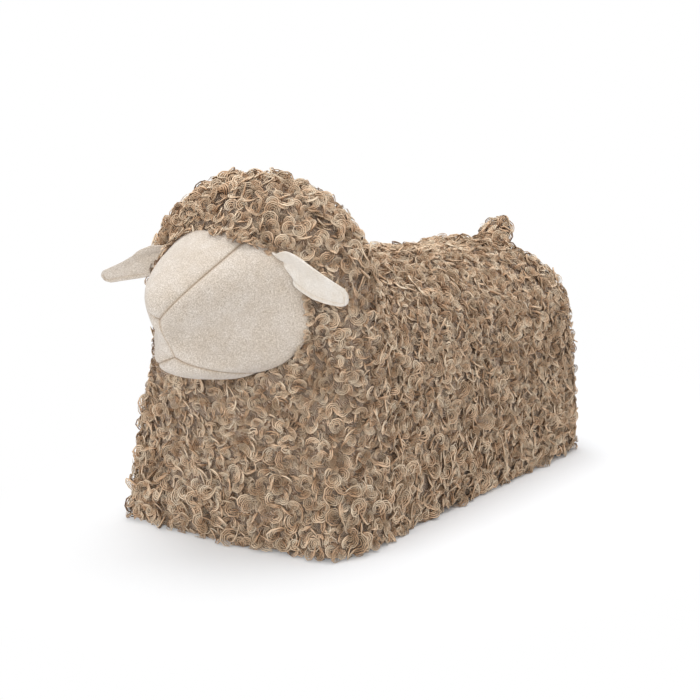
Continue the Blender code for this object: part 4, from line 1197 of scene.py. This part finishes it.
def underside(material):
    """Thin cloth stretched over the underside, with a little sag between the staples and the glides."""
    low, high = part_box("underside_cloth")
    mesh = copy_of("underside_cloth", "underside_cloth_sheet", material)
    nails = [tuple(sum(pair) / 2 for pair in zip(*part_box(node)))[:2] for node in frame["nodes"]
             if node.startswith("glide_")]
    edge = base_line(CLOTH_INSET, 240)[:, :2]
    with reworked(mesh) as work:
        for axis in (0, 1):
            for at in np.arange(low[axis] + 0.010, high[axis] - 0.004, 0.012):
                place, way = [0, 0, 0], [0, 0, 0]
                place[axis], way[axis] = at, 1
                bmesh.ops.bisect_plane(work, geom=work.verts[:] + work.edges[:] + work.faces[:], plane_co=place,
                                       plane_no=way)
        area = sum(face.calc_area() for face in work.faces if face.normal.z < -0.9)
        for vert in work.verts:
            spot = np.array(vert.co[:2])
            held = min(np.linalg.norm(edge - spot, axis=1).min(), *[math.dist(spot, nail) - 0.011 for nail in nails])
            slack = 1 - math.exp(-max(0.0, held - 0.002) / 0.025)
            ripple = 0.85 + 0.15 * math.sin(spot[0] * 90 + 2) * math.sin(spot[1] * 60)
            vert.co.z -= CLOTH_SAG * slack * ripple
    cloth = new_object("underside_cloth_sheet", mesh)
    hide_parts("underside_cloth")
    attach(cloth, "footstool")
    return low[2], nails


def staples(material, height, nails):
    """Wire staples that hold the cloth, spaced evenly along its edge and clear of the glides."""
    tree = Tree("staples_along_edge", [("Gap", "Float", 0.042), ("Crown", "Float", 0.010), ("Wire", "Float", 0.0007),
                                       ("Steel", "Material", material)])
    line = tree.add("GeometryNodeMeshToCurve", {"Mesh": tree.value("Geometry")})
    spaced = tree.add("GeometryNodeResampleCurve", {"Curve": line.outputs["Curve"], "Length": tree.value("Gap")},
                      mode="LENGTH")
    size = tree.add("ShaderNodeCombineXYZ", {"X": tree.value("Crown"), "Y": tree.value("Wire"),
                                             "Z": tree.value("Wire")})
    wire = tree.add("GeometryNodeMeshCube", {"Size": size.outputs["Vector"]})
    along = tree.add("GeometryNodeInputTangent")
    aim = tree.add("FunctionNodeAlignRotationToVector", {"Vector": along.outputs["Tangent"]}, axis="X")
    place = tree.add("GeometryNodeInstanceOnPoints", {
        "Points": spaced.outputs["Curve"], "Instance": wire.outputs["Mesh"], "Rotation": aim.outputs["Rotation"]})
    tree.close(place.outputs["Instances"], "Steel")
    spots = base_line(CLOTH_INSET + STAPLE_INSET, 200)
    spots[:, 2] = height - 0.0006
    clear = [min(math.dist(spot[:2], nail) for nail in nails) > STAPLE_CLEAR for spot in spots]
    edges = [(k, (k + 1) % len(spots)) for k in range(len(spots)) if clear[k] and clear[(k + 1) % len(spots)]]
    mesh = bpy.data.meshes.new("cloth_staples")
    mesh.from_pydata([tuple(v) for v in spots], edges, [])
    piece = made_plain(new_object("cloth_staples", mesh), tree)
    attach(piece, "footstool")


# Light, floor and camera

def floor():
    """A pale floor that fades to plain white away from the sheep."""
    mesh = mesh_from("studio_floor", [(-6, -6, 0), (6, -6, 0), (6, 6, 0), (-6, 6, 0)], [(0, 1, 2, 3)])
    shader = Shader("white_sweep")
    shader.finish((0.915, 0.935, 0.965, 1), 0.9, Specular_IOR_Level=0.0)
    glow = shader.add("ShaderNodeEmission", {"Strength": 1.0})
    rays = shader.add("ShaderNodeLightPath").outputs
    seen = shader.maths("MAXIMUM", rays["Is Camera Ray"],
                        shader.maths("MAXIMUM", rays["Is Glossy Ray"], rays["Is Transmission Ray"]))
    centre = shader.add("ShaderNodeMapping", {"Vector": shader.place(), "Location": (-0.10, -0.20, 0),
                                              "Scale": (2.4, 1.55, 0)})
    away = shader.add("ShaderNodeVectorMath", {0: centre.outputs["Vector"]}, operation="LENGTH")
    fade = shader.add("ShaderNodeMapRange", {"Value": away.outputs["Value"], "From Min": 0.40, "From Max": 1.10},
                      interpolation_type="SMOOTHSTEP")
    blend = shader.add("ShaderNodeMixShader", {0: shader.maths("MULTIPLY", fade.outputs["Result"], seen),
                                               1: shader.surface.outputs[0], 2: glow.outputs[0]})
    shader.feed(shader.nodes["Material Output"].inputs["Surface"], blend.outputs[0])
    item = new_object("studio_floor", mesh, shader.material)


def world():
    """Soft light from all round, with plain white behind."""
    studio = bpy.data.worlds.new("studio")
    bpy.context.scene.world = studio
    studio.use_nodes = True
    wiring = Wiring(studio.node_tree)
    soft = wiring.nodes["Background"]
    soft.inputs["Color"].default_value = (1.0, 0.985, 0.965, 1)
    soft.inputs["Strength"].default_value = 0.58
    white = wiring.add("ShaderNodeBackground", {"Color": (1, 1, 1, 1), "Strength": 1.0})
    rays = wiring.add("ShaderNodeLightPath").outputs
    seen = wiring.maths("MAXIMUM", rays["Is Camera Ray"], rays["Is Transmission Ray"])
    both = wiring.add("ShaderNodeMixShader", {0: seen, 1: soft.outputs[0], 2: white.outputs[0]})
    wiring.feed(wiring.nodes["World Output"].inputs["Surface"], both.outputs[0])


def lamp(name, place, size, power):
    light = bpy.data.lights.new(name, "AREA")
    light.shape = "DISK"
    light.size = size
    light.energy = power
    item = new_object(name, light)
    item.location = place
    item.rotation_euler = (LAMP_TARGET - Vector(place)).to_track_quat("-Z", "Y").to_euler()


def camera():
    azimuth, height = math.radians(CAMERA_AZIMUTH), math.radians(CAMERA_HEIGHT)
    back = Vector((math.sin(azimuth) * math.cos(height), -math.cos(azimuth) * math.cos(height), math.sin(height)))
    data = bpy.data.cameras.new("photo_camera")
    data.lens = CAMERA_LENS
    data.sensor_width = 36
    data.shift_x, data.shift_y = CAMERA_SHIFT
    item = new_object("photo_camera", data)
    item.location = CAMERA_TARGET + back * CAMERA_DISTANCE
    item.rotation_euler = (-back).to_track_quat("-Z", "Y").to_euler()
    bpy.context.scene.camera = item


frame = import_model()
bpy.context.scene.view_settings.view_transform = "Standard"
camera()
world()
floor()
lamp("overhead_softbox", (-0.1, 0.35, 2.2), 1.8, 34)
lamp("key_window", (-0.7, -2.5, 1.2), 2.0, 20)
lamp("front_fill", (2.0, -1.7, 1.2), 2.0, 12)

pile, ground, felt = pile_material(), ground_material(), felt_material()
locks = lock_collection()
curls = curl_tree(locks, pile)
for piece in [*dress_cover(curls, ground), fringe(curls), *tail(ground, curls), *hem(ground, curls)]:
    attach(piece, "footstool")
for item in list(locks.objects):
    bpy.data.objects.remove(item, do_unlink=True)
bpy.data.collections.remove(locks)

for name, limits in face_limits().items():
    piece = face_panel(name, limits, felt)
    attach(piece, "footstool")
# The left ear's felt is the same felt made paler: painted light, so it reads as more brightly lit than the right ear
ear("left", 1, felt_material("ear_felt_nap", 0.45))
ear("right", -1, felt)

foam = foam_material()
padding("body_foam", "body_padding", foam)
padding("head_foam", "head_padding", foam)
muzzle_filling()
finishes = {"birch_plywood": plywood_material(), "underside_cloth": cloth_material(),
            "glide_plastic": glide_material(), "zinc_steel": steel_material()}
staples(finishes["zinc_steel"], *underside(finishes["underside_cloth"]))
slots = {part["node"]: part["material_slot"] for part in frame["record"]["subparts"]}
for node, item in frame["nodes"].items():
    if not item.hide_render and slots[node] in finishes:
        item.data.materials.clear()
        item.data.materials.append(finishes[slots[node]])
